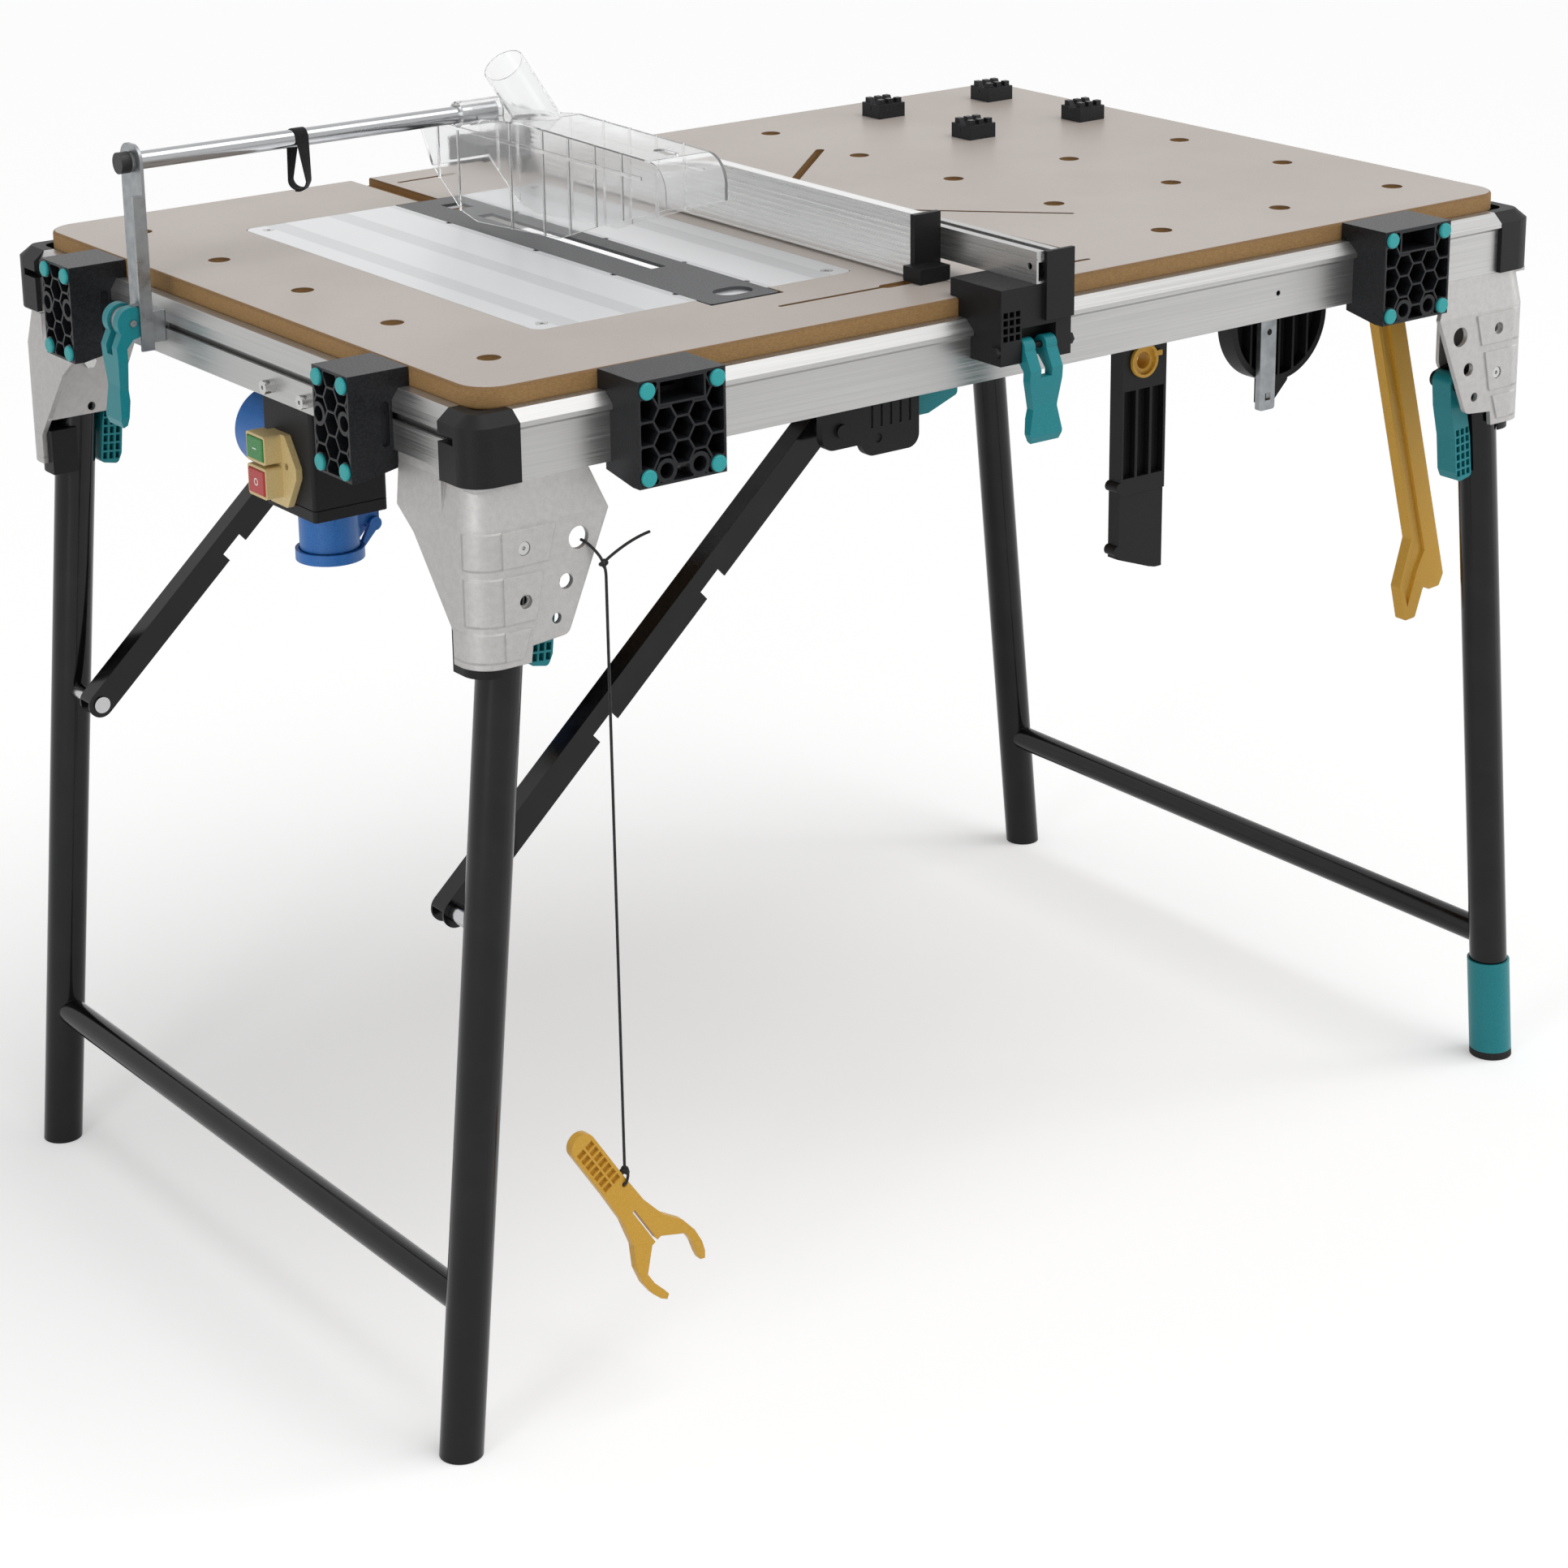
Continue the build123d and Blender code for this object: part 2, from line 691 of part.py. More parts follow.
# The legs: two tubes and a crossbar welded into one frame for each end of the table. Their feet
# are cut level and closed by plugs.
head_cover = 28
leg_rise = cos(radians(leg_lean))


def leg_frame(pivot_z):
    """The welded frame of the right end, with its bores open under the plastic heads."""
    length = pivot_z / leg_rise
    outer = leg_rod(pivot_z, leg_radius, head_cover, length + leg_radius)
    inner = leg_rod(pivot_z, leg_radius - leg_wall, head_cover - cut_over, length - foot_plug)
    bar_x = leg_axis_x(pivot_z, crossbar_height)
    bar_end = leg_line_y - leg_radius - leg_wall
    with BuildPart(mode=Mode.PRIVATE) as frame:
        add(outer)
        mirror(about=Plane.XZ)
        with BuildSketch(Plane.XZ):
            with Locations((bar_x, crossbar_height)):
                Circle(crossbar_diameter / 2)
        extrude(amount=leg_line_y, both=True)
        with BuildSketch(Plane.XZ):
            with Locations((bar_x, crossbar_height)):
                Circle(crossbar_diameter / 2 - crossbar_wall)
        extrude(amount=bar_end, both=True, mode=Mode.SUBTRACT)
        add(inner, mode=Mode.SUBTRACT)
        add(at_corner(inner, 1, -1), mode=Mode.SUBTRACT)
        split(bisect_by=Plane.XY, keep=Keep.TOP)
    return frame.part


right_frame = leg_frame(pivot_z_right)
left_frame = at_corner(leg_frame(pivot_z_left), -1, 1)
with BuildPart() as left_leg_frame:
    add(left_frame)
save(left_leg_frame, "left_leg_frame")
with BuildPart() as right_leg_frame:
    add(right_frame)
save(right_leg_frame, "right_leg_frame")

# Black plastic heads on the legs: they turn on the bracket's bolt, with a rounded top, and carry
# the pin of the locking lever between two ears on the inner side
ear_inner = 12.5
ear_thickness = 5
ear_height = 26
ear_radius = 8
lever_pin_out = 37
lever_pin_drop = 5


def leg_head(pivot_z):
    """The head of the back right leg."""
    side = leg_side_plane(pivot_z, leg_line_y)
    ear_middle = ear_inner + ear_thickness / 2
    barrel = leg_rod(pivot_z, head_radius, -2 * head_radius, head_cover)
    with BuildPart(mode=Mode.PRIVATE) as head:
        with BuildSketch(side):
            Circle(head_radius)
            with Locations((0, -head_cover / 2)):
                Rectangle(2 * head_radius, head_cover)
        extrude(amount=head_radius, both=True)
        add(barrel, mode=Mode.INTERSECT)
        for ear_side in (-1, 1):
            with BuildSketch(side.offset(ear_side * ear_middle)):
                with BuildLine():
                    Polyline(
                        (ear_radius / 2, -lever_pin_drop + ear_height / 2),
                        (lever_pin_out, -lever_pin_drop + ear_radius),
                        (lever_pin_out, -lever_pin_drop - ear_radius),
                        (ear_radius / 2, -lever_pin_drop - ear_height / 2),
                        close=True,
                    )
                make_face()
                with Locations((lever_pin_out, -lever_pin_drop)):
                    Circle(ear_radius)
            extrude(amount=ear_thickness / 2, both=True)
        with BuildSketch(side):
            Circle(bolt_radius + running_gap)
        extrude(amount=2 * head_radius, both=True, mode=Mode.SUBTRACT)
        with BuildSketch(side):
            with Locations((lever_pin_out, -lever_pin_drop)):
                Circle(small_pin_radius + running_gap)
        extrude(amount=2 * head_radius, both=True, mode=Mode.SUBTRACT)
    return head.part


def both_ends_of(shape):
    """A back leg's piece and its mirror image at the front."""
    return [shape, at_corner(shape, 1, -1)]


right_head = leg_head(pivot_z_right)
left_head = at_corner(leg_head(pivot_z_left), -1, 1)
with BuildPart() as right_leg_heads:
    add(both_ends_of(right_head))
save(right_leg_heads, "right_leg_heads")
with BuildPart() as left_leg_heads:
    add(both_ends_of(left_head))
save(left_leg_heads, "left_leg_heads")

# The bright pins of the locking levers, and on the left legs the pins that carry the struts,
# each with a spacer that ends on the leg tube. Heads that pass close to the brackets are thin.
pin_head_radius = 5
pin_head_height = 2
thin_head_height = 0.6
pin_end = ear_inner + ear_thickness + side_gap
spacer_radius = 8
strut_pin_end = strut_line_y - strut_width / 2 - pin_head_height
strut_outer = strut_line_y + strut_width / 2
strut_foot_x = leg_axis_x(pivot_z_left, strut_foot_height)


def lever_pin(pivot_z):
    """The headed pin of the back right leg's locking lever."""
    side = leg_side_plane(pivot_z, leg_line_y)
    with BuildPart(mode=Mode.PRIVATE) as pin:
        with BuildSketch(side):
            with Locations((lever_pin_out, -lever_pin_drop)):
                Circle(small_pin_radius)
        extrude(amount=pin_end, both=True)
        for end, height in ((-1, pin_head_height), (1, thin_head_height)):
            with BuildSketch(side.offset(end * pin_end)):
                with Locations((lever_pin_out, -lever_pin_drop)):
                    Circle(pin_head_radius)
            extrude(amount=end * height)
    return pin.part


right_pin = lever_pin(pivot_z_right)
left_pin = at_corner(lever_pin(pivot_z_left), -1, 1)
with BuildPart() as right_leg_pins:
    add(both_ends_of(right_pin))
save(right_leg_pins, "right_leg_pins")
left_tube = at_corner(leg_rod(pivot_z_left, leg_radius, head_cover, pivot_z_left), -1, 1)
with BuildPart(mode=Mode.PRIVATE) as strut_pin:
    with BuildSketch(across(leg_line_y)):
        with Locations((-strut_foot_x, strut_foot_height)):
            Circle(bolt_radius)
    extrude(amount=leg_line_y - strut_pin_end)
    with BuildSketch(across(leg_line_y)):
        with Locations((-strut_foot_x, strut_foot_height)):
            Circle(spacer_radius)
    extrude(amount=leg_line_y - strut_outer - side_gap)
    with BuildSketch(across(strut_line_y - strut_width / 2 - side_gap)):
        with Locations((-strut_foot_x, strut_foot_height)):
            Circle(spacer_radius)
    extrude(amount=pin_head_height)
    add(left_tube, mode=Mode.SUBTRACT)
with BuildPart() as left_leg_pins:
    add(both_ends_of(left_pin))
    add(both_ends_of(strut_pin.part))
save(left_leg_pins, "left_leg_pins")

# The adjustable foot of the front right leg: a turquoise sleeve on the tube and a black pad
sleeve_radius = 21.5
sleeve_low = 8
sleeve_high = 110
pad_gap = 0.3
right_foot_inner = leg_rod(pivot_z_right, leg_radius + pad_gap, head_cover, 2 * pivot_z_right)
right_foot_outer = leg_rod(pivot_z_right, sleeve_radius, head_cover, 2 * pivot_z_right)
with BuildPart() as back_sleeve:
    add(right_foot_outer)
    add(right_foot_inner, mode=Mode.SUBTRACT)
    split(bisect_by=level(sleeve_low), keep=Keep.TOP)
    split(bisect_by=level(sleeve_high), keep=Keep.BOTTOM)
with BuildPart() as foot_sleeve:
    add(at_corner(back_sleeve.part, 1, -1))
save(foot_sleeve, "foot_sleeve")
with BuildPart() as back_pad:
    add(right_foot_outer)
    add(right_foot_inner, mode=Mode.SUBTRACT)
    split(bisect_by=level(sleeve_low), keep=Keep.BOTTOM)
    split(bisect_by=Plane.XY, keep=Keep.TOP)
with BuildPart() as foot_pad:
    add(at_corner(back_pad.part, 1, -1))
save(foot_pad, "foot_pad")

# The struts of the left legs: U channels, open on their lower side, with two notches in which
# the lock engages, and a bolt at the upper end
notch_shares = (0.383, 0.677)
notch_length = 25
notch_depth = 10
strut_top_z = table_height - strut_top_drop
strut_dx = strut_foot_x - strut_top_x
strut_dz = strut_top_z - strut_foot_height
strut_length = hypot(strut_dx, strut_dz)
strut_slope = degrees(atan2(strut_dz, strut_dx))


def strut_plane(y):
    """A plane on the strut's side with its origin at the leg pin and local X up the strut."""
    slope = radians(strut_slope)
    return Plane(origin=(-strut_foot_x, y, strut_foot_height), x_dir=(cos(slope), 0, sin(slope)), z_dir=(0, -1, 0))


with BuildPart() as strut_back:
    with BuildSketch(strut_plane(strut_line_y)):
        with Locations((strut_length / 2, 0)):
            SlotCenterToCenter(strut_length, strut_depth)
    extrude(amount=strut_width / 2, both=True)
    with BuildSketch(strut_plane(strut_line_y)):
        with Locations((strut_length / 2, -strut_wall)):
            Rectangle(strut_length + 2 * strut_depth, strut_depth)
    extrude(amount=strut_width / 2 - strut_wall, both=True, mode=Mode.SUBTRACT)
    with BuildSketch(strut_plane(strut_line_y)):
        for share in notch_shares:
            with Locations((share * strut_length, (notch_depth - strut_depth) / 2)):
                Rectangle(notch_length, notch_depth)
    extrude(amount=strut_width, both=True, mode=Mode.SUBTRACT)
    with BuildSketch(strut_plane(strut_line_y)):
        with Locations((0, 0), (strut_length, 0)):
            Circle(bolt_radius + running_gap)
    extrude(amount=strut_width, both=True, mode=Mode.SUBTRACT)
    with BuildSketch(strut_plane(strut_outer + side_gap / 2)):
        with Locations((strut_length, 0)):
            Circle(bolt_radius)
    extrude(amount=strut_width + side_gap)
    with BuildSketch(strut_plane(strut_outer + side_gap / 2)):
        with Locations((strut_length, 0)):
            Circle(spacer_radius)
    extrude(amount=-pin_head_height)
    with BuildSketch(strut_plane(strut_line_y - strut_width / 2 - side_gap / 2)):
        with Locations((strut_length, 0)):
            Circle(spacer_radius)
    extrude(amount=thin_head_height)
save(strut_back, "strut_back")
with BuildPart() as strut_front:
    add(at_corner(strut_back.part, 1, -1))
save(strut_front, "strut_front")

# The strut locks under the long rails: a top plate, a ribbed side plate with the lever's pin and
# a tab with the stub on which the strut bears
lock_left = -225
lock_right = -120
lock_plate_left = -182
lock_top = 4
lock_plate_outer = 356
lock_plate_thickness = 8
lock_plate_drop = 59
lock_flange_outer = 380
lock_flange_inner = 337
lock_corner_radius = 12
lock_groove_width = 2.5
lock_groove_depth = 1.2
lock_grooves = 5
tab_drop = 47
tab_thickness = 8
stub_inner = 336
stub_radius = 6
lock_eye_x = -165
lock_eye_drop = 117
lock_eye_radius = 10
lock_eye_inner = 337
lock_eye_outer = 347
lock_low = long_rail_low - lock_plate_drop
lock_eye_z = table_height - lock_eye_drop
with BuildPart() as strut_lock:
    with BuildSketch(level(long_rail_low)):
        with Locations(((lock_left + lock_right) / 2, (lock_flange_outer + lock_flange_inner) / 2)):
            Rectangle(lock_right - lock_left, lock_flange_outer - lock_flange_inner)
    extrude(amount=-lock_top)
    with BuildSketch(across(lock_plate_outer)):
        plate_top = long_rail_low - lock_top / 2
        with Locations(((lock_plate_left + lock_right) / 2, (plate_top + lock_low) / 2)):
            Rectangle(lock_right - lock_plate_left, plate_top - lock_low)
        fillet(vertices().group_by(Axis.Y)[0], lock_corner_radius)
    extrude(amount=lock_plate_thickness)
    with BuildSketch(across(lock_plate_outer)):
        groove_pitch = (lock_right - lock_plate_left) / (lock_grooves + 1)
        groove_high = long_rail_low - 2 * lock_top
        groove_low = lock_eye_z + lock_eye_radius
        with Locations(((lock_plate_left + lock_right) / 2, (groove_high + groove_low) / 2)):
            with GridLocations(groove_pitch, 0, lock_grooves, 1):
                Rectangle(lock_groove_width, groove_high - groove_low)
        with Locations((lock_eye_x, lock_eye_z)):
            Circle(small_pin_radius + lock_groove_depth)
    extrude(amount=lock_groove_depth, mode=Mode.SUBTRACT)
    with BuildSketch(across(lock_plate_outer)):
        tab_low = long_rail_low - tab_drop
        with Locations(((lock_left + lock_plate_left) / 2, (plate_top + tab_low) / 2)):
            Rectangle(lock_plate_left - lock_left, plate_top - tab_low)
        fillet(vertices().group_by(Axis.X)[0].sort_by(Axis.Y)[0], lock_corner_radius)
    extrude(amount=tab_thickness)
    with BuildSketch(across(lock_plate_outer + small_pin_radius)):
        with Locations((-strut_top_x, strut_top_z)):
            Circle(stub_radius)
    extrude(amount=lock_plate_outer + small_pin_radius - stub_inner)
    with BuildSketch(across(lock_plate_outer - lock_plate_thickness / 2)):
        with Locations((lock_eye_x, lock_eye_z)):
            Circle(small_pin_radius)
    extrude(amount=lock_plate_outer - lock_plate_thickness / 2 - lock_eye_inner)
with BuildPart() as strut_locks:
    add(both_ends_of(strut_lock.part))
save(strut_locks, "strut_locks")

# The turquoise levers of the strut locks: an eye on the lock's pin and a ribbed handle
lock_lever_end = -70
lock_lever_wide_start = -135
lock_lever_inner = 320
lock_lever_low = 812
lock_lever_high = 836
lock_lever_rib = 2
lock_lever_pockets = 5
lever_end_round = 4
with BuildPart() as strut_lever_back:
    with BuildSketch(across(lock_eye_outer)):
        with Locations((lock_eye_x, lock_eye_z)):
            Circle(lock_eye_radius)
        with BuildLine():
            Polyline(
                (lock_eye_x, lock_eye_z - lock_eye_radius),
                (lock_lever_wide_start, lock_lever_low),
                (lock_lever_wide_start, lock_lever_high),
                (lock_eye_x, lock_eye_z + lock_eye_radius),
                close=True,
            )
        make_face()
    extrude(amount=lock_eye_outer - lock_eye_inner)
    with BuildSketch(across(lock_eye_outer)):
        with BuildLine():
            Polyline(
                (lock_lever_wide_start - cut_over, lock_lever_low),
                ((lock_lever_wide_start + lock_lever_end) / 2, lock_lever_low),
                (lock_lever_end, (lock_lever_low + lock_lever_high) / 2),
                (lock_lever_end, lock_lever_high),
                (lock_lever_wide_start - cut_over, lock_lever_high),
                close=True,
            )
        make_face()
        fillet(vertices().group_by(Axis.X)[-1], lever_end_round)
    extrude(amount=lock_eye_outer - lock_lever_inner)
    with BuildSketch(level(lock_lever_high)):
        pocket_pitch = (lock_lever_end - lock_lever_wide_start - 2 * lever_end_round) / lock_lever_pockets
        pocket_depth_y = (lock_eye_outer - lock_lever_inner) / 2
        pocket_middle = ((lock_lever_wide_start + lock_lever_end) / 2, (lock_eye_outer + lock_lever_inner) / 2)
        with Locations(pocket_middle):
            with GridLocations(pocket_pitch, pocket_depth_y - lock_lever_rib / 2, lock_lever_pockets, 2):
                Rectangle(pocket_pitch - lock_lever_rib, pocket_depth_y - 1.5 * lock_lever_rib)
    extrude(amount=-(lock_lever_high - lock_lever_low) / 3, mode=Mode.SUBTRACT)
    with BuildSketch(across(lock_eye_outer)):
        with Locations((lock_eye_x, lock_eye_z)):
            Circle(small_pin_radius + running_gap)
    extrude(amount=lock_eye_outer - lock_eye_inner, mode=Mode.SUBTRACT)
save(strut_lever_back, "strut_lever_back")
with BuildPart() as strut_lever_front:
    add(at_corner(strut_lever_back.part, 1, -1))
save(strut_lever_front, "strut_lever_front")

# The turquoise levers on the legs: they hang along the inner side of each leg from the head's pin
leg_lever_width = 24
leg_lever_reach = 100
leg_lever_near = 21.5
leg_lever_far = 47
leg_lever_eye = 10
leg_lever_pocket = 7
leg_lever_rib = 2
leg_lever_rows = 6
leg_lever_columns = 3
leg_lever_shares = (
    (0.22, 1.00),
    (0.16, 0.72),
    (0.02, 0.42),
    (0.00, 0.02),
    (0.70, 0.00),
    (0.84, 0.10),
    (0.84, 0.45),
    (1.00, 0.76),
    (1.00, 1.00),
)


def leg_lever(pivot_z):
    """The locking lever of the back right leg."""
    side = leg_side_plane(pivot_z, leg_line_y)
    reach_width = leg_lever_far - leg_lever_near
    low = -lever_pin_drop - leg_lever_reach
    points = spread(leg_lever_shares, reach_width, leg_lever_reach, leg_lever_near, low)
    with BuildPart(mode=Mode.PRIVATE) as lever:
        with BuildSketch(side):
            with BuildLine():
                Polyline(points, close=True)
            make_face()
            fillet(vertices().group_by(Axis.Y)[0:2], lever_end_round)
            with Locations((lever_pin_out, -lever_pin_drop)):
                Circle(leg_lever_eye)
        extrude(amount=leg_lever_width / 2, both=True)
        with BuildSketch(side):
            with Locations((lever_pin_out, -lever_pin_drop)):
                Circle(small_pin_radius + running_gap)
        extrude(amount=leg_lever_width, both=True, mode=Mode.SUBTRACT)
        grid_pitch_x = (reach_width * leg_lever_shares[6][0] - leg_lever_rib) / leg_lever_columns
        grid_pitch_y = leg_lever_reach / 2 / leg_lever_rows
        grid_middle = (
            leg_lever_near + (reach_width * leg_lever_shares[6][0]) / 2,
            low + (leg_lever_rows + 1) * grid_pitch_y / 2,
        )
        for face_side in (-1, 1):
            with BuildSketch(side.offset(face_side * leg_lever_width / 2)):
                with Locations(grid_middle):
                    with GridLocations(grid_pitch_x, grid_pitch_y, leg_lever_columns, leg_lever_rows):
                        Rectangle(grid_pitch_x - leg_lever_rib, grid_pitch_y - leg_lever_rib)
            extrude(amount=-face_side * leg_lever_pocket, mode=Mode.SUBTRACT)
    return lever.part


for name, side_x, side_y in corners:
    lever_shape = leg_lever(pivot_z_left if side_x < 0 else pivot_z_right)
    with BuildPart() as placed_lever:
        add(at_corner(lever_shape, side_x, side_y))
    save(placed_lever, "leg_lever_" + name)

# The clamping blocks: black mouldings that hook over the rails, open at their outer face, with
# honeycomb ribs, a window at the top, screw bosses and four turquoise pads at the corners
block_low = 832
block_out = 57
block_skin = 2.2
block_rib = 1.9
block_cell = 19.7
block_cell_depth = 30
block_foot_in = 10
block_foot_drop = 8
block_front_width = 85
block_front_x = (-425.5, 403.5)
block_left_width = 56
block_left_y = (-251, 237)
pad_radius = 7
pad_inset = 8.5
pad_thickness = 3
boss_radius = 10
boss_bore = 6.5
window_shares = (0.5, 0.2)
window_low_share = 0.76
light_shares = (0.33, 0.1)
front_boss_share = 0.19
front_boss_drop_share = 0.13
side_boss_share = 0.36
side_boss_height_share = 0.55
pin_slot_width = 8
pin_slot_height = 38
pin_slot_out = 24
pin_slot_depth = 3
block_height = table_height - block_low


def block(width, edge, points, bosses, window):
    """A clamping block that faces the front, with its middle at X = 0."""
    face_y = -(edge + block_out)
    pad_x = width / 2 - pad_inset
    pad_z = block_height / 2 - pad_inset
    middle = (0, block_low + block_height / 2)
    cell_pitch_x = block_cell * cos(radians(30))
    columns = int(width / cell_pitch_x / 2) + 1
    rows = int(block_height / block_cell / 2) + 1
    with BuildPart(mode=Mode.PRIVATE) as shape:
        with BuildSketch(along(-width / 2)):
            with BuildLine():
                Polyline([(-(edge + out), height) for out, height in points], close=True)
            make_face()
        extrude(amount=width)
        with BuildSketch(across(face_y)):
            with Locations(middle):
                for column in range(-columns, columns + 1):
                    for row in range(-rows, rows + 1):
                        rise = (row + (column % 2) / 2) * block_cell
                        with Locations((column * cell_pitch_x, rise)):
                            RegularPolygon((block_cell - block_rib) / 2, 6, major_radius=False)
                Rectangle(width - 2 * block_skin, block_height - 2 * block_skin, mode=Mode.INTERSECT)
                if window:
                    with Locations((0, (window_low_share + window_shares[1] / 2 - 1 / 2) * block_height)):
                        Rectangle(
                            window_shares[0] * width + 2 * block_rib,
                            window_shares[1] * block_height + 2 * block_rib,
                            mode=Mode.SUBTRACT,
                        )
                with Locations(bosses):
                    Circle(boss_radius, mode=Mode.SUBTRACT)
                with GridLocations(2 * pad_x, 2 * pad_z, 2, 2):
                    Circle(pad_radius + block_rib / 2, mode=Mode.SUBTRACT)
        extrude(amount=-block_cell_depth, mode=Mode.SUBTRACT)
        with BuildSketch(across(face_y)):
            with Locations(middle):
                with Locations(bosses):
                    Circle(boss_bore)
        extrude(amount=-block_cell_depth, mode=Mode.SUBTRACT)
        if window:
            window_z = (window_low_share + window_shares[1] / 2 - 1 / 2) * block_height
            with BuildSketch(across(face_y)):
                with Locations(middle):
                    with Locations((0, window_z)):
                        Rectangle(window_shares[0] * width, window_shares[1] * block_height)
            extrude(amount=-block_cell_depth, mode=Mode.SUBTRACT)
            with BuildSketch(across(face_y)):
                with Locations(middle):
                    with Locations((0, window_z)):
                        Rectangle(light_shares[0] * width, light_shares[1] * block_height)
            extrude(amount=-2 * block_out, mode=Mode.SUBTRACT)
    return shape.part


def block_pad_set(width, edge):
    """The four pads of a block that faces the front, with its middle at X = 0."""
    with BuildPart(mode=Mode.PRIVATE) as pads:
        with BuildSketch(across(-(edge + block_out))):
            with Locations((0, block_low + block_height / 2)):
                with GridLocations(width - 2 * pad_inset, block_height - 2 * pad_inset, 2, 2):
                    Circle(pad_radius)
        extrude(amount=pad_thickness)
        chamfer(faces().sort_by(Axis.Y)[0:4].edges(), pad_thickness / 3)
    return pads.part


front_block_points = (
    (rail_gap, table_height),
    (rail_gap, rail_top),
    (rail_ledge, rail_top),
    (rail_lip, rail_top - lip_high_drop),
    (rail_lip, rail_top - lip_low_drop),
    (rail_face, rail_top - lip_root_drop),
    (rail_face, long_rail_low),
    (block_foot_in, long_rail_low),
    (block_foot_in, long_rail_low - block_foot_drop),
    (block_out - block_foot_in, block_low),
    (block_out, block_low),
    (block_out, table_height),
)
left_block_points = (
    (rail_gap, table_height),
    (rail_gap, rail_top),
    (rail_ledge, rail_top),
    (rail_face, rail_top - lip_high_drop),
    (rail_face, short_rail_low),
    (block_foot_in, short_rail_low),
    (block_foot_in, long_rail_low - block_foot_drop),
    (block_out - block_foot_in, block_low),
    (block_out, block_low),
    (block_out, table_height),
)
front_bosses = [
    (side * front_boss_share * block_front_width, (front_boss_drop_share - 1 / 2) * block_height)
    for side in (-1, 1)
]
left_bosses = [
    (side * side_boss_share * block_left_width, (side_boss_height_share - 1 / 2) * block_height)
    for side in (-1, 1)
]
front_block = block(block_front_width, half_width, front_block_points, front_bosses, True)
left_block = block(block_left_width, half_length, left_block_points, left_bosses, False)
with BuildPart() as blocks_front:
    with Locations([(x, 0, 0) for x in block_front_x]):
        add(front_block)
save(blocks_front, "blocks_front")
with BuildPart() as blocks_left:
    with Locations([Location((0, y, 0), (0, 0, -90)) for y in block_left_y]):
        add(left_block)
    slot_middle_x = -(half_length + pin_slot_out)
    for y in block_left_y:
        with BuildSketch(across(y - block_left_width / 2)):
            with Locations((slot_middle_x, block_low + block_height / 2)):
                SlotOverall(pin_slot_height, pin_slot_width, rotation=90)
        extrude(amount=-pin_slot_depth, mode=Mode.SUBTRACT)
save(blocks_left, "blocks_left")
front_pads = block_pad_set(block_front_width, half_width)
left_pads = block_pad_set(block_left_width, half_length)
with BuildPart() as block_pads:
    with Locations([(x, 0, 0) for x in block_front_x]):
        add(front_pads)
    with Locations([Location((0, y, 0), (0, 0, -90)) for y in block_left_y]):
        add(left_pads)
save(block_pads, "block_pads")

# The black V-notched work supports that stand in four holes of the right board
v_length = 34
v_width = 30
v_base = 15
v_rise = 5
v_fins = 3
v_fin_gap = 5
v_notch = 13
v_peg_radius = 9.8
v_peg_length = 15
v_places = ((2, 1), (2, 2), (3, 1), (3, 2))
with BuildPart(mode=Mode.PRIVATE) as v_block:
    with BuildSketch(level(table_height)):
        Rectangle(v_length, v_width)
    extrude(amount=v_base)
    with BuildSketch(level(table_height + v_base)):
        fin_pitch = v_length / v_fins
        with GridLocations(fin_pitch, 0, v_fins, 1):
            Rectangle(fin_pitch - v_fin_gap, v_width - v_fin_gap)
    extrude(amount=v_rise)
    with BuildSketch(along(-v_length)):
        with BuildLine():
            Polyline(
                (-v_notch / 2, table_height + v_base + v_rise),
                (0, table_height + v_base + v_rise - v_notch),
                (v_notch / 2, table_height + v_base + v_rise),
                close=True,
            )
        make_face()
    extrude(amount=2 * v_length, mode=Mode.SUBTRACT)
    with BuildSketch(level(table_height)):
        Circle(v_peg_radius)
    extrude(amount=-v_peg_length)
with BuildPart() as v_blocks:
    with Locations([
        (hole_grid_x + column * hole_pitch, hole_middle_y + row * hole_pitch, 0) for column, row in v_places
    ]):
        add(v_block.part)
save(v_blocks, "v_blocks")

# The switch box under the left rail, its yellow plate with two housings and the push buttons
box_left = -580
box_right = -508
box_front = -113
box_back = -30
box_low = 748
box_lid_height = 10
box_groove = 1
box_round = 4
switch_plate_thickness = 6
switch_plate_front = -95
switch_plate_back = -38
switch_plate_low = 755
switch_plate_high = 819
switch_plate_shares = (
    (1.00, 0.12),
    (0.80, 0.00),
    (0.30, 0.00),
    (0.00, 0.45),
    (0.00, 0.60),
    (0.30, 1.00),
    (0.80, 1.00),
    (1.00, 0.88),
)
housing_proud = 16
housing_front = -72
housing_back = -40
housing_middle = 792
housing_gap = 1.5
housing_low = 763
housing_high = 819
housing_wall = 2.6
housing_round = 3
button_proud = 1.5
button_depth = 9
button_pocket = 13
plate_hole_y = -79
plate_hole_radius = 3
with BuildPart() as switch_box:
    with BuildSketch(level(box_low)):
        with Locations(((box_left + box_right) / 2, (box_front + box_back) / 2)):
            RectangleRounded(box_right - box_left, box_back - box_front, box_round)
    extrude(amount=short_rail_low - box_low)
    with BuildSketch(level(box_low + box_lid_height)):
        with Locations(((box_left + box_right) / 2, (box_front + box_back) / 2)):
            RectangleRounded(box_right - box_left + cut_over, box_back - box_front + cut_over, box_round)
            RectangleRounded(
                box_right - box_left - 2 * box_groove,
                box_back - box_front - 2 * box_groove,
                box_round - box_groove,
                mode=Mode.SUBTRACT,
            )
    extrude(amount=box_groove, mode=Mode.SUBTRACT)
save(switch_box, "switch_box")

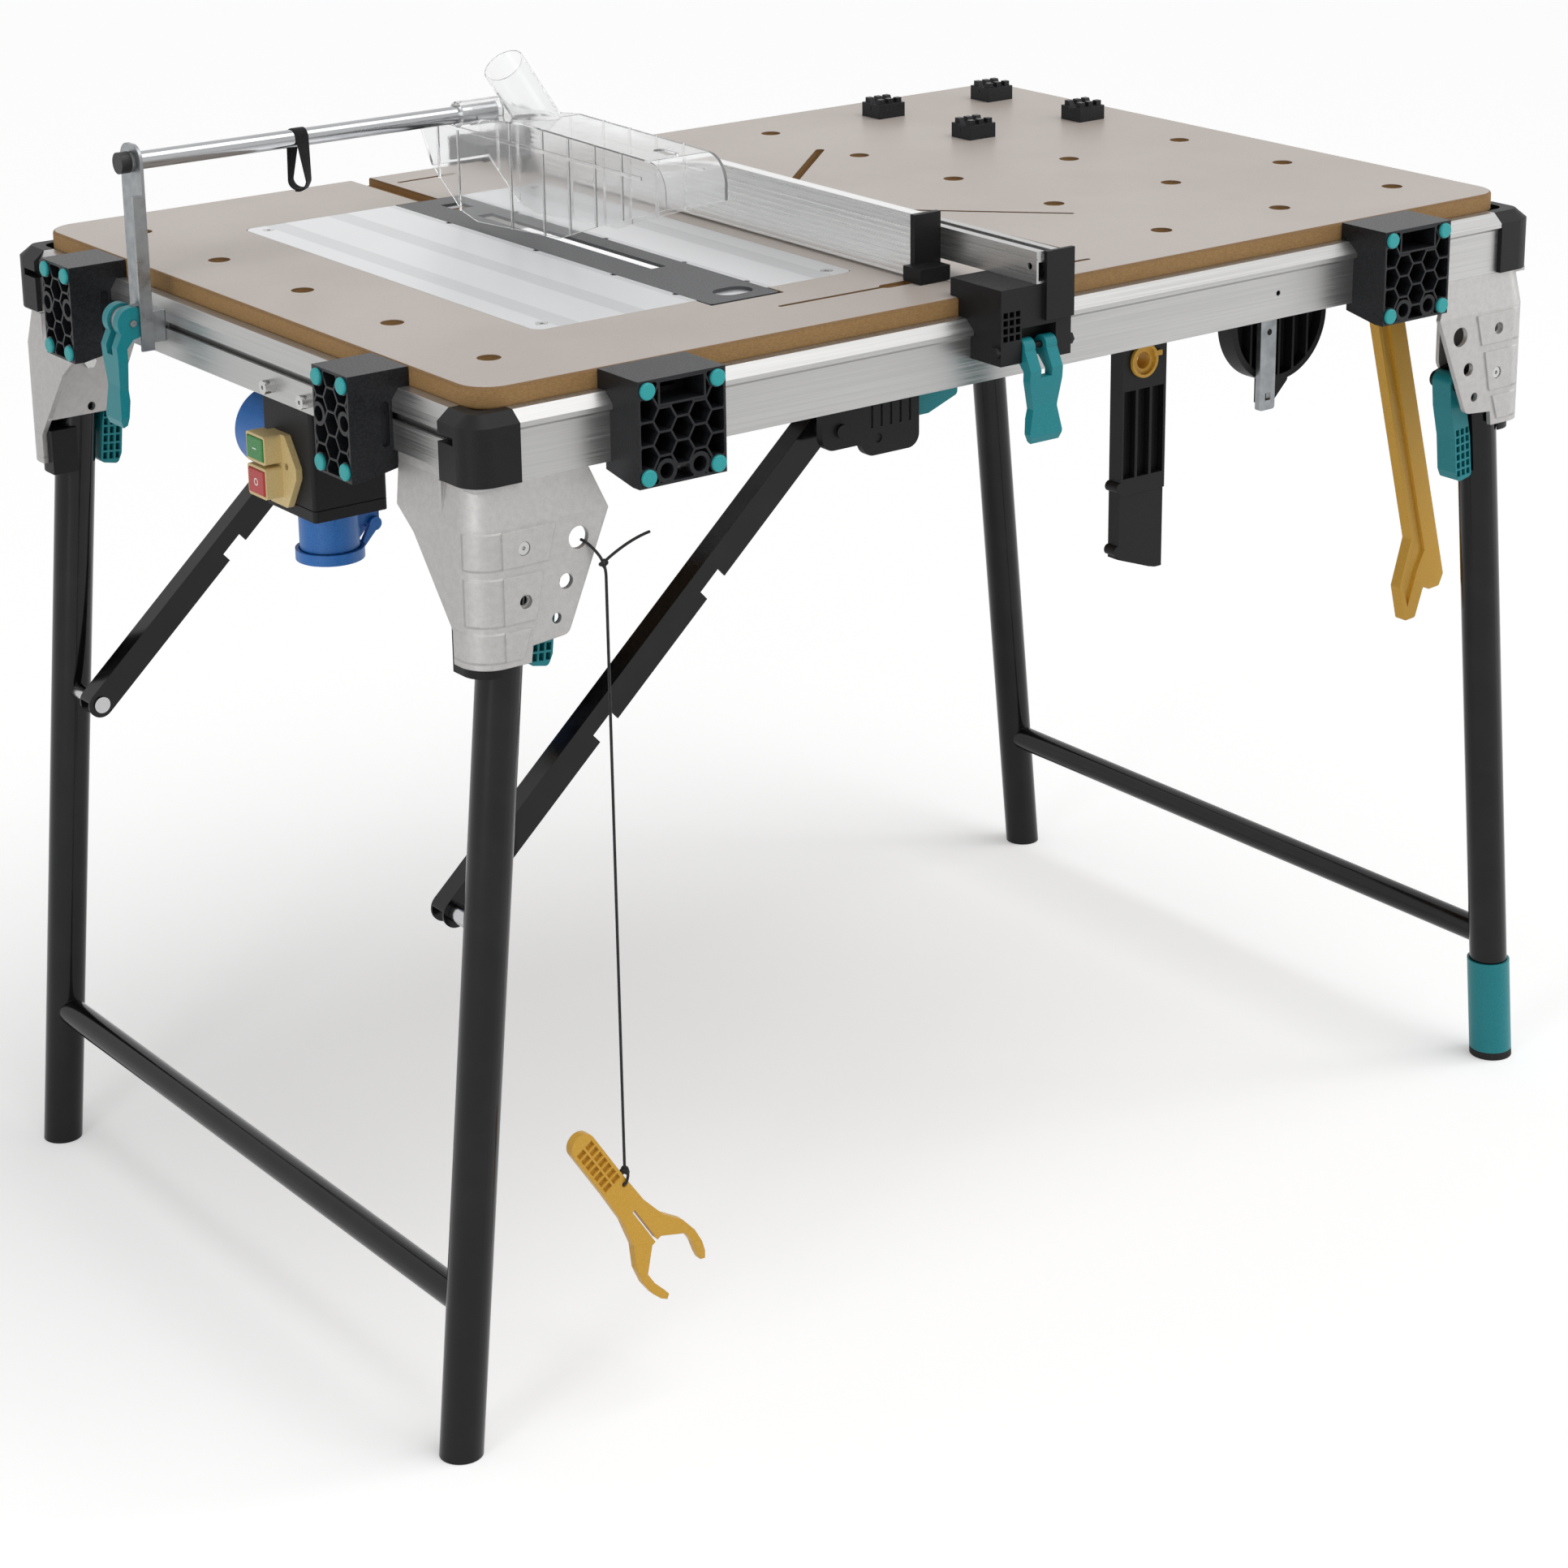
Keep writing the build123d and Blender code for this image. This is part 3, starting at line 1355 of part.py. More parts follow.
housing_middle_y = (housing_front + housing_back) / 2
housing_width = housing_back - housing_front
housing_spans = ((housing_low, housing_middle - housing_gap), (housing_middle + housing_gap, housing_high))
with BuildPart() as switch_plate:
    with BuildSketch(along(box_left)):
        with BuildLine():
            Polyline(
                spread(
                    switch_plate_shares,
                    switch_plate_back - switch_plate_front,
                    switch_plate_high - switch_plate_low,
                    switch_plate_front,
                    switch_plate_low,
                ),
                close=True,
            )
        make_face()
        fillet(vertices(), housing_round)
        with Locations((plate_hole_y, housing_middle)):
            Circle(plate_hole_radius, mode=Mode.SUBTRACT)
    extrude(amount=-switch_plate_thickness)
    with BuildSketch(along(box_left - switch_plate_thickness)):
        for low, high in housing_spans:
            with Locations((housing_middle_y, (low + high) / 2)):
                RectangleRounded(housing_width, high - low, housing_round)
    extrude(amount=-housing_proud)
    with BuildSketch(along(box_left - switch_plate_thickness - housing_proud)):
        for low, high in housing_spans:
            with Locations((housing_middle_y, (low + high) / 2)):
                Rectangle(housing_width - 2 * housing_wall, high - low - 2 * housing_wall)
    extrude(amount=button_pocket, mode=Mode.SUBTRACT)
save(switch_plate, "switch_plate")

for name, span in (("red_button", housing_spans[0]), ("green_button", housing_spans[1])):
    with BuildPart() as button:
        with BuildSketch(along(box_left - switch_plate_thickness - housing_proud - button_proud)):
            with Locations((housing_middle_y, (span[0] + span[1]) / 2)):
                Rectangle(
                    housing_width - 2 * housing_wall - 2 * side_gap,
                    span[1] - span[0] - 2 * housing_wall - 2 * side_gap,
                )
        extrude(amount=button_depth)
        chamfer(faces().sort_by(Axis.X)[0].edges(), button_proud / 2)
    save(button, name)

# The blue inlet at the back of the box, a shroud round three pins
inlet_radius = 36
inlet_wall = 3
inlet_length = 51
inlet_depth = 38
inlet_z = 800
inlet_pins = 3
inlet_pin_radius = 3
inlet_pin_circle = 16
inlet_pin_length = 30
inlet_x = (box_left + box_right) / 2
with BuildPart() as inlet_plug:
    with BuildSketch(across(box_back)):
        with Locations((inlet_x, inlet_z)):
            Circle(inlet_radius)
    extrude(amount=-inlet_length)
    with BuildSketch(across(box_back + inlet_length)):
        with Locations((inlet_x, inlet_z)):
            Circle(inlet_radius - inlet_wall)
    extrude(amount=inlet_depth, mode=Mode.SUBTRACT)
    with BuildSketch(across(box_back + inlet_length - inlet_depth)):
        with Locations((inlet_x, inlet_z)):
            with PolarLocations(inlet_pin_circle, inlet_pins, start_angle=90):
                Circle(inlet_pin_radius)
    extrude(amount=-inlet_pin_length)
save(inlet_plug, "inlet_plug")

# The blue outlet under the box, with a hinged round lid
outlet_x = -544
outlet_y = -72
outlet_radius = 26
outlet_bore = 21
outlet_low = 712
outlet_depth = 24
hinge_x = -503
hinge_z = 726
hinge_pin_radius = 2.5
hinge_lug_half = 5
hinge_lug_right = -497
hinge_lug_left = -522
hinge_arm = 4
lid_radius = 30
lid_rim = 3
lid_floor = 3
lid_low = 702
hinge_eye = 6
with BuildPart() as outlet_socket:
    with BuildSketch(level(outlet_low)):
        with Locations((outlet_x, outlet_y)):
            Circle(outlet_radius)
    extrude(amount=box_low - outlet_low)
    with BuildSketch(level(outlet_low)):
        with Locations((outlet_x, outlet_y)):
            Circle(outlet_bore)
    extrude(amount=outlet_depth, mode=Mode.SUBTRACT)
    with BuildSketch(across(outlet_y)):
        with Locations(((hinge_lug_left + hinge_lug_right) / 2, (hinge_z + box_low) / 2)):
            Rectangle(hinge_lug_right - hinge_lug_left, box_low - hinge_z)
        with Locations((hinge_x, hinge_z)):
            Circle(hinge_lug_right - hinge_x)
    extrude(amount=hinge_lug_half, both=True)
    with BuildSketch(across(outlet_y)):
        with Locations((hinge_x, hinge_z)):
            Circle(hinge_pin_radius)
    extrude(amount=hinge_lug_half + hinge_arm + side_gap, both=True)
save(outlet_socket, "outlet_socket")

with BuildPart() as socket_lid:
    with BuildSketch(level(lid_low)):
        with Locations((outlet_x, outlet_y)):
            Circle(lid_radius)
    extrude(amount=outlet_low - side_gap - lid_low)
    with BuildSketch(level(lid_low + lid_floor)):
        with Locations((outlet_x, outlet_y)):
            Circle(lid_radius - lid_rim)
    extrude(amount=outlet_low - lid_low, mode=Mode.SUBTRACT)
    for side in (-1, 1):
        arm_outer = outlet_y + side * (hinge_lug_half + side_gap + hinge_arm)
        with BuildSketch(across(arm_outer)):
            with BuildLine():
                Polyline(
                    (outlet_x + lid_radius - 2 * lid_rim, lid_low),
                    (hinge_x, hinge_z - hinge_eye),
                    (hinge_x + hinge_eye, hinge_z),
                    (hinge_x, hinge_z + hinge_eye / 2),
                    (hinge_x - hinge_eye, hinge_z),
                    (outlet_x + lid_radius - lid_rim, outlet_low - side_gap),
                    (outlet_x + lid_radius - 2 * lid_rim, outlet_low - side_gap),
                    close=True,
                )
            make_face()
            with Locations((hinge_x, hinge_z)):
                Circle(hinge_eye)
        extrude(amount=side * hinge_arm)
    with BuildSketch(across(outlet_y)):
        with Locations((hinge_x, hinge_z)):
            Circle(hinge_pin_radius + running_gap)
    extrude(amount=2 * lid_radius, both=True, mode=Mode.SUBTRACT)
save(socket_lid, "socket_lid")

# The rip fence: a hollow beam across the table and a ribbed face beside it
beam_left = -58
beam_right = -34
beam_low = 936
beam_high = 964
beam_front = -437
beam_back = 400
beam_wall = 2.2
beam_slot = 8
beam_slot_lip = 2.4
beam_pocket = 14
beam_pocket_depth = 5
beam_line_drop = 7
beam_line = 1.2
beam_hole_y = -428
beam_hole_radius = 3
beam_middle_x = (beam_left + beam_right) / 2
face_left = -85
face_right = -73
face_low = 922
face_high = 978
face_front = -303
face_back = 300
face_groove = 1.4
face_groove_width = 2.2
face_grooves = 9
face_band = 10
with BuildPart() as fence_beam:
    with BuildSketch(across(beam_front)):
        with Locations((beam_middle_x, (beam_low + beam_high) / 2)):
            Rectangle(beam_right - beam_left, beam_high - beam_low)
        with Locations((beam_middle_x, beam_high)):
            Rectangle(beam_slot, 2 * beam_slot_lip, mode=Mode.SUBTRACT)
        with Locations((beam_middle_x, beam_high - beam_slot_lip - beam_pocket_depth / 2)):
            Rectangle(beam_pocket, beam_pocket_depth, mode=Mode.SUBTRACT)
        cavity_high = beam_high - beam_slot_lip - beam_pocket_depth - beam_wall
        with Locations((beam_middle_x, (beam_low + beam_wall + cavity_high) / 2)):
            Rectangle(
                beam_right - beam_left - 2 * beam_wall,
                cavity_high - beam_low - beam_wall,
                mode=Mode.SUBTRACT,
            )
        for edge in (beam_left, beam_right):
            with Locations((edge, beam_high - beam_line_drop)):
                Rectangle(2 * beam_line, beam_line, mode=Mode.SUBTRACT)
    extrude(amount=beam_front - beam_back)
    with BuildSketch(along(beam_left)):
        with Locations((beam_hole_y, (beam_low + beam_high) / 2)):
            Circle(beam_hole_radius)
    extrude(amount=2 * beam_wall, both=True, mode=Mode.SUBTRACT)
save(fence_beam, "fence_beam")

with BuildPart() as fence_face:
    groove_span = face_high - face_low - face_band
    with BuildSketch(across(face_front)):
        with Locations(((face_left + face_right) / 2, (face_low + face_high) / 2)):
            Rectangle(face_right - face_left, face_high - face_low)
        with Locations((face_left, face_low + groove_span / 2)):
            with GridLocations(0, groove_span / face_grooves, 1, face_grooves):
                Rectangle(2 * face_groove, face_groove_width, mode=Mode.SUBTRACT)
    extrude(amount=face_front - face_back)
save(fence_face, "fence_face")

# The fence clamps: each head hooks over its rail, carries the beam on a top plate and, at the
# front, holds the lever's pin; two end plates and two blocks join the face to the beam
clamp_left = -97
clamp_right = -19
clamp_out = 57
clamp_low = 870
clamp_top_in = 10
table_gap = 0.4
clamp_points = (
    (-clamp_top_in, beam_low),
    (clamp_out, beam_low),
    (clamp_out, clamp_low),
    (rail_face + side_gap, clamp_low),
    (rail_face + side_gap, 887.4),
    (22, 890.6),
    (22, 895.3),
    (11.3, rail_top + table_gap),
    (rail_gap, rail_top + table_gap),
    (rail_gap, table_height + table_gap),
    (-clamp_top_in, table_height + table_gap),
)
clamp_pin_z = 882
clamp_pin_out = 52
clamp_slot_left = -74
clamp_slot_right = -36
clamp_slot_high = 900
clamp_slot_reach = 10
clamp_window = 5
clamp_window_rib = 1.8
clamp_window_depth = 12
clamp_window_columns = 3
clamp_window_rows = 4
clamp_window_low = 889
clamp_window_high = 918
nut_radius = 5.5
nut_height = 4
cheek_left = -50
cheek_low = 904
cheek_thickness = 4
cheek_high = 964
plate_end = 6
plate_end_left = -87
join_length = 20
join_low = 940
join_high = 958
join_y = 150
foot_left = -95
foot_right = -62
foot_high = 934
foot_length = 24
with BuildPart() as fence_clamps:
    for side in (-1, 1):
        with BuildSketch(along(clamp_left)):
            with BuildLine():
                Polyline(from_edge(clamp_points, half_width, side), close=True)
            make_face()
        extrude(amount=clamp_right - clamp_left)
    clamp_front = -(half_width + clamp_out)
    pin_y = -(half_width + clamp_pin_out)
    with BuildSketch(across(clamp_front)):
        with Locations(((clamp_slot_left + clamp_slot_right) / 2, (clamp_low + clamp_slot_high) / 2)):
            Rectangle(clamp_slot_right - clamp_slot_left, clamp_slot_high - clamp_low)
    extrude(amount=clamp_front - pin_y - clamp_slot_reach, mode=Mode.SUBTRACT)
    window_pitch = clamp_window + clamp_window_rib
    window_x = clamp_left + clamp_window_rib + clamp_window_columns * window_pitch / 2
    with BuildSketch(across(clamp_front)):
        with Locations((window_x, (clamp_window_low + clamp_window_high) / 2)):
            with GridLocations(window_pitch, window_pitch, clamp_window_columns, clamp_window_rows):
                Rectangle(clamp_window, clamp_window)
    extrude(amount=-clamp_window_depth, mode=Mode.SUBTRACT)
    with BuildSketch(along(clamp_left - nut_height)):
        with Locations((pin_y, clamp_pin_z)):
            Circle(small_pin_radius)
    extrude(amount=clamp_right - clamp_left + 2 * nut_height)
    for face, way in ((clamp_left, -1), (clamp_right, 1)):
        with BuildSketch(along(face)):
            with Locations((pin_y, clamp_pin_z)):
                RegularPolygon(nut_radius, 6)
        extrude(amount=way * nut_height)
    with BuildSketch(across(clamp_front)):
        with Locations(((cheek_left + clamp_right) / 2, (cheek_low + cheek_high) / 2)):
            Rectangle(clamp_right - cheek_left, cheek_high - cheek_low)
    extrude(amount=cheek_thickness)
    for end, way in ((face_front, 1), (face_back, -1)):
        with BuildSketch(across(end)):
            with Locations(((plate_end_left + beam_left) / 2, (table_height + 2 * table_gap + face_high) / 2)):
                Rectangle(beam_left - plate_end_left, face_high - table_height - 2 * table_gap)
        extrude(amount=way * plate_end)
        with BuildSketch(across(end)):
            with Locations(((foot_left + foot_right) / 2, (table_height + 2 * table_gap + foot_high) / 2)):
                Rectangle(foot_right - foot_left, foot_high - table_height - 2 * table_gap)
        extrude(amount=way * foot_length)
    for middle in (-join_y, join_y):
        with BuildSketch(across(middle)):
            with Locations(((face_right + beam_left) / 2, (join_low + join_high) / 2)):
                Rectangle(beam_left - face_right, join_high - join_low)
        extrude(amount=join_length / 2, both=True)
save(fence_clamps, "fence_clamps")

# The turquoise clamp levers: two ears on a pin, a waist and a flared end. The shape is made with
# its pin along Y and its handle hanging down.
lever_side_shares = (
    (-0.30, -0.09),
    (0.40, -0.24),
    (0.36, -0.75),
    (0.62, -0.98),
    (0.85, -1.00),
    (1.00, -0.93),
    (0.86, -0.60),
    (1.00, -0.22),
    (0.50, -0.02),
)
lever_front_shares = (
    (0.50, -0.34),
    (0.37, -0.64),
    (0.50, -0.90),
    (0.44, -1.00),
    (0.20, -1.04),
)
lever_gap_share = 0.30


def clamp_lever(width, gap, eye, depth, length):
    """A clamp lever whose pin lies along Y at the origin and whose handle hangs down."""
    side_points = [(-out * depth, rise * length) for out, rise in lever_side_shares]
    half_points = [(across_share * width, rise * length) for across_share, rise in lever_front_shares]
    front_points = [(width / 2, 2 * eye)] + half_points
    front_points += [(-x, z) for x, z in reversed(front_points)]
    with BuildPart(mode=Mode.PRIVATE) as lever:
        with BuildSketch(Plane.XZ):
            with BuildLine():
                Polyline(side_points, close=True)
            make_face()
            Circle(eye)
        extrude(amount=width / 2, both=True)
        with BuildSketch(Plane.YZ):
            with BuildLine():
                Polyline(front_points, close=True)
            make_face()
        extrude(amount=length, both=True, mode=Mode.INTERSECT)
        with BuildSketch(Plane.YZ):
            with Locations((0, eye - lever_gap_share * length / 2)):
                Rectangle(gap, lever_gap_share * length + 2 * eye)
        extrude(amount=length, both=True, mode=Mode.SUBTRACT)
        with BuildSketch(Plane.XZ):
            Circle(small_pin_radius + running_gap)
        extrude(amount=width, both=True, mode=Mode.SUBTRACT)
    return lever.part


fence_lever_width = 36
fence_lever_gap = 12
fence_lever_eye = 8
fence_lever_depth = 16
fence_lever_length = 82
fence_lever_x = (clamp_slot_left + clamp_slot_right) / 2
with BuildPart() as fence_lever:
    with Locations(Location((fence_lever_x, pin_y, clamp_pin_z), (0, 0, 90))):
        add(clamp_lever(
            fence_lever_width, fence_lever_gap, fence_lever_eye, fence_lever_depth, fence_lever_length
        ))
save(fence_lever, "fence_lever")

# The guard's upright: a galvanised angle that clamps in the left rail's slot
arm_face_x = -613
arm_thickness = 3
arm_front = 103
arm_back = 140
arm_low = 862
arm_high = 1043
arm_round = 14
arm_flange = 9
arm_flange_high = 1000
tube_y = 122
tube_z = 1027
tube_radius = 8
tube_left = -622
tube_right = -240
tube_cap_radius = 9.5
tube_cap_left = -625
tube_cap_end = -615
clamp_block_front = 106
clamp_block_back = 138
clamp_block_low = 868
clamp_block_high = 896
tongue_neck_height = 4.5
tongue_neck_low = 880
tongue_low = 877
tongue_high = 887.5
tongue_right = -590.6
tongue_front = 110
tongue_back = 134
arm_pin_x = -628
arm_pin_z = 888
arm_ear = 12
arm_ear_half = 5
arm_pin_half = 17
with BuildPart() as guard_arm:
    with BuildSketch(along(arm_face_x)):
        with Locations(((arm_front + arm_back) / 2, (arm_low + arm_high) / 2)):
            Rectangle(arm_back - arm_front, arm_high - arm_low)
        fillet(vertices().group_by(Axis.Y)[-1], arm_round)
        with Locations((tube_y, tube_z)):
            Circle(tube_radius, mode=Mode.SUBTRACT)
    extrude(amount=arm_thickness)
    with BuildSketch(along(arm_face_x)):
        with Locations((arm_front + arm_thickness / 2, (arm_low + arm_flange_high) / 2)):
            Rectangle(arm_thickness, arm_flange_high - arm_low)
    extrude(amount=-arm_flange)
    block_right = -(half_length + rail_face + side_gap)
    with BuildSketch(along(arm_face_x + arm_thickness)):
        with Locations(((clamp_block_front + clamp_block_back) / 2, (clamp_block_low + clamp_block_high) / 2)):
            Rectangle(clamp_block_back - clamp_block_front, clamp_block_high - clamp_block_low)
    extrude(amount=block_right - arm_face_x - arm_thickness)
    with BuildSketch(along(block_right)):
        with Locations(((tongue_front + tongue_back) / 2, tongue_neck_low + tongue_neck_height / 2)):
            Rectangle(tongue_back - tongue_front, tongue_neck_height)
    extrude(amount=tongue_right - block_right)
    with BuildSketch(along(tongue_right)):
        with Locations(((tongue_front + tongue_back) / 2, (tongue_low + tongue_high) / 2)):
            Rectangle(tongue_back - tongue_front, tongue_high - tongue_low)
    extrude(amount=-arm_thickness)
    with BuildSketch(across(tube_y)):
        with Locations((arm_pin_x, arm_pin_z)):
            Circle(arm_ear)
        with Locations(((arm_pin_x + arm_face_x) / 2, arm_pin_z)):
            Rectangle(arm_face_x - arm_pin_x, 2 * arm_ear)
    extrude(amount=arm_ear_half, both=True)
    with BuildSketch(across(tube_y)):
        with Locations((arm_pin_x, arm_pin_z)):
            Circle(small_pin_radius)
    extrude(amount=arm_pin_half, both=True)
save(guard_arm, "guard_arm")

with BuildPart() as guard_tube:
    with BuildSketch(along(tube_left)):
        with Locations((tube_y, tube_z)):
            Circle(tube_radius)
    extrude(amount=tube_right - tube_left)
    with BuildSketch(along(tube_cap_left)):
        with Locations((tube_y, tube_z)):
            Circle(tube_cap_radius)
    extrude(amount=tube_cap_end - tube_cap_left)
save(guard_tube, "guard_tube")

arm_lever_width = 30
arm_lever_gap = 10.6
arm_lever_eye = 14.4
arm_lever_depth = 17
arm_lever_length = 93
with BuildPart() as arm_lever:
    with Locations(Location((arm_pin_x, tube_y, arm_pin_z))):
        add(clamp_lever(arm_lever_width, arm_lever_gap, arm_lever_eye, arm_lever_depth, arm_lever_length))
save(arm_lever, "arm_lever")

strap_x = -447
strap_width = 30
strap_thickness = 2.2
strap_drop = 54
with BuildPart() as hose_strap:
    with BuildSketch(along(strap_x)):
        with Locations((tube_y, tube_z + tube_radius - strap_drop / 2)):
            SlotOverall(strap_drop + 2 * strap_thickness, 2 * tube_radius + 2 * strap_thickness, rotation=90)
            SlotOverall(strap_drop, 2 * tube_radius, rotation=90, mode=Mode.SUBTRACT)
    extrude(amount=strap_width / 2, both=True)
save(hose_strap, "hose_strap")

# The clear guard hood, open below, with ribs, a sleeve on the tube and a nozzle for a hose
hood_left = -262
hood_right = -196
hood_wall = 2
hood_outline = (
    (223, 1008),
    (201, 967),
    (150, 930),
    (122, 924),
    (-16, 932),
    (-75, 952),
    (-185, 986),
    (-186, 1025),
    (42, 1029),
    (215, 1012),
)
hood_cavity = (
    (220.6, 1007.5),
    (199.2, 968),
    (196, 950),
    (150, 925),
    (122, 918),
    (-16, 926),
    (-75, 946),
    (-183, 979),
    (-184, 1023),
    (42, 1027),
    (214, 1010),
)
bulb_round = 26
hood_rib = 1.4
hood_rib_width = 2.4
hood_rib_y = (-120, -78, -36, 6, 60, 150, 185)
hood_ridge_z = 1008
hood_ridge_front = -150
hood_ridge_back = 190
hood_ridge_height = 3
sleeve_radius = 12
sleeve_left = -280
sleeve_right = -236
nozzle_radius = 20
nozzle_bore = 18.5
nozzle_start_y = 46
nozzle_start_z = 1012
nozzle_length = 91
nozzle_rise = 37
hood_vent_y = -140
hood_vent_length = 30
hood_vent_width = 12
hood_middle = (hood_left + hood_right) / 2
nozzle_plane = Plane(
    origin=(hood_middle, nozzle_start_y, nozzle_start_z),
    x_dir=(1, 0, 0),
    z_dir=(0, cos(radians(nozzle_rise)), sin(radians(nozzle_rise))),
)
with BuildPart() as guard_hood:
    with BuildSketch(along(hood_left)):
        with BuildLine():
            Polyline(hood_outline, close=True)
        make_face()
    extrude(amount=hood_right - hood_left)
    fillet(edges().filter_by(Axis.Z, 2).group_by(Axis.Y)[0], bulb_round)
    for face, way in ((hood_left, -1), (hood_right, 1)):
        with BuildSketch(along(face)):
            with Locations([(y, (table_height + tube_z) / 2) for y in hood_rib_y]):
                Rectangle(hood_rib_width, 2 * tube_z - 2 * table_height)
            with Locations(((hood_ridge_front + hood_ridge_back) / 2, hood_ridge_z)):
                Rectangle(hood_ridge_back - hood_ridge_front, hood_ridge_height)
            with BuildLine():
                Polyline(hood_outline, close=True)
            make_face(mode=Mode.INTERSECT)
        extrude(amount=way * hood_rib)
    with BuildSketch(nozzle_plane):
        Circle(nozzle_radius)
    extrude(amount=nozzle_length)
    with BuildPart(mode=Mode.SUBTRACT) as cavity:
        with BuildSketch(along(hood_left + hood_wall)):
            with BuildLine():
                Polyline(hood_cavity, close=True)
            make_face()
        extrude(amount=hood_right - hood_left - 2 * hood_wall)
        fillet(edges().filter_by(Axis.Z, 2).group_by(Axis.Y)[0], bulb_round - hood_wall)
    with BuildSketch(along(sleeve_left)):
        with Locations((tube_y, tube_z)):
            Circle(sleeve_radius)
    extrude(amount=sleeve_right - sleeve_left)
    with BuildSketch(nozzle_plane):
        Circle(nozzle_bore)
    extrude(amount=2 * nozzle_length, mode=Mode.SUBTRACT)
    with BuildSketch(along(sleeve_left)):
        with Locations((tube_y, tube_z)):
            Circle(tube_radius + running_gap)
    extrude(amount=sleeve_right - sleeve_left, mode=Mode.SUBTRACT)
    with BuildSketch(level(tube_z)):
        with Locations((hood_middle, hood_vent_y)):
            SlotOverall(hood_vent_length, hood_vent_width, rotation=90)
    extrude(amount=nozzle_radius, both=True, mode=Mode.SUBTRACT)
save(guard_hood, "guard_hood")

# Tools that hang behind the front rail. Each one's hole turns on a hook of its own.
hook_radius = 4
hook_hole = hook_radius + running_gap
tool_back = -284
tool_front = -300
hub_radius = 16
hub_hole = 8
hub_x = 191
hub_z = 801
bar_left = 165
bar_right = 220
bar_low = 596
bar_high = 874
bar_hook = (193, 862)
bar_step = 674
bar_rib = 3
bar_groove_width = 12
bar_groove_depth = 8
bar_grooves = 3
bar_groove_low = 690
bar_groove_high = 774
bar_rise = 16
bar_lug = 5
bar_lug_z = (682, 620)
bar_rim = 2
with BuildPart() as ribbed_bar:
    with BuildSketch(across(tool_back)):
        with BuildLine():
            Polyline(
                (bar_left, bar_low + bar_rise),
                (bar_right - bar_rise, bar_low + bar_rim),
                (bar_right - bar_rise / 2, bar_low),
                (bar_right, bar_low),
                (bar_right, bar_high),
                (bar_left, bar_high),
                close=True,
            )
        make_face()
        for height in bar_lug_z:
            with Locations((bar_left, height)):
                Circle(bar_lug)
        with Locations(bar_hook):
            Circle(hook_hole, mode=Mode.SUBTRACT)
        with Locations((hub_x, hub_z)):
            Circle(hub_radius, mode=Mode.SUBTRACT)
    extrude(amount=tool_back - tool_front)
    with BuildSketch(across(tool_front)):
        groove_pitch = (bar_right - bar_left - bar_rib) / bar_grooves
        with Locations(((bar_left + bar_right) / 2, (bar_groove_low + bar_groove_high) / 2)):
            with GridLocations(groove_pitch, 0, bar_grooves, 1):
                Rectangle(groove_pitch - bar_rib, bar_groove_high - bar_groove_low)
    extrude(amount=-bar_groove_depth, mode=Mode.SUBTRACT)
    with BuildSketch(across(tool_front)):
        with Locations(((bar_left + bar_right) / 2, bar_low)):
            Rectangle(2 * (bar_right - bar_left), 2 * (bar_step - bar_low))
    extrude(amount=-bar_rim, mode=Mode.SUBTRACT)
save(ribbed_bar, "ribbed_bar")

hub_lip = 3
hub_tab = 5
with BuildPart() as bar_hub:
    with BuildSketch(across(tool_back)):
        with Locations((hub_x, hub_z)):
            Circle(hub_radius)
            Circle(hub_hole, mode=Mode.SUBTRACT)
    extrude(amount=tool_back - tool_front)
    with BuildSketch(across(tool_front)):
        with Locations((hub_x, hub_z)):
            Circle(hub_radius)
            Circle(hub_radius - hub_lip, mode=Mode.SUBTRACT)
        with Locations((hub_x + hub_radius, hub_z + hub_tab)):
            Rectangle(2 * hub_tab, hub_tab)
        with Locations((hub_x, hub_z)):
            Circle(hub_hole, mode=Mode.SUBTRACT)
    extrude(amount=hub_lip)
save(bar_hub, "bar_hub")

gauge_radius = 61
gauge_x = 363
gauge_z = 814
gauge_front = -302
gauge_back = -281
gauge_hook = (353, 862)
gauge_tail_left = 352
gauge_tail_right = 375
gauge_tail_low = 729
gauge_rim = 6
gauge_depth = 12
gauge_fins = 6
gauge_fin = 2.5
rivet = (343, 805)
rivet_radius = 3
rivet_seat = 9
gauge_bar_front = -309
gauge_bar_back = -303
gauge_bar_left = 332
gauge_bar_right = 352
gauge_bar_low = 729
gauge_bar_high = 894
square_hole = 7
square_hole_z = 742
peg_z = 765
with BuildPart() as gauge_head:
    with BuildSketch(across(gauge_back)):
        with Locations((gauge_x, gauge_z)):
            Circle(gauge_radius)
        with BuildLine():
            Polyline(
                (gauge_tail_left, gauge_z),
                (gauge_tail_right, gauge_z),
                (gauge_tail_right, gauge_tail_low + gauge_tail_right - gauge_tail_left),
                (gauge_tail_left, gauge_tail_low),
                close=True,
            )
        make_face()
    extrude(amount=gauge_back - gauge_front)
    with BuildSketch(across(gauge_front)):
        with Locations((gauge_x, gauge_z)):
            Circle(gauge_radius - gauge_rim)
            with GridLocations(2 * (gauge_radius - gauge_rim) / gauge_fins, 0, gauge_fins - 1, 1):
                Rectangle(gauge_fin, 2 * gauge_radius, mode=Mode.SUBTRACT)
        with Locations(rivet):
            Circle(rivet_seat, mode=Mode.SUBTRACT)
        with Locations(gauge_hook):
            Circle(rivet_seat, mode=Mode.SUBTRACT)
    extrude(amount=-gauge_depth, mode=Mode.SUBTRACT)
    with BuildSketch(across(gauge_back)):
        with Locations(gauge_hook):
            Circle(hook_hole)
    extrude(amount=2 * (gauge_back - gauge_front), both=True, mode=Mode.SUBTRACT)
    with BuildSketch(across(gauge_front)):
        with Locations(rivet):
            Circle(rivet_radius)
    extrude(amount=gauge_front - gauge_bar_front)
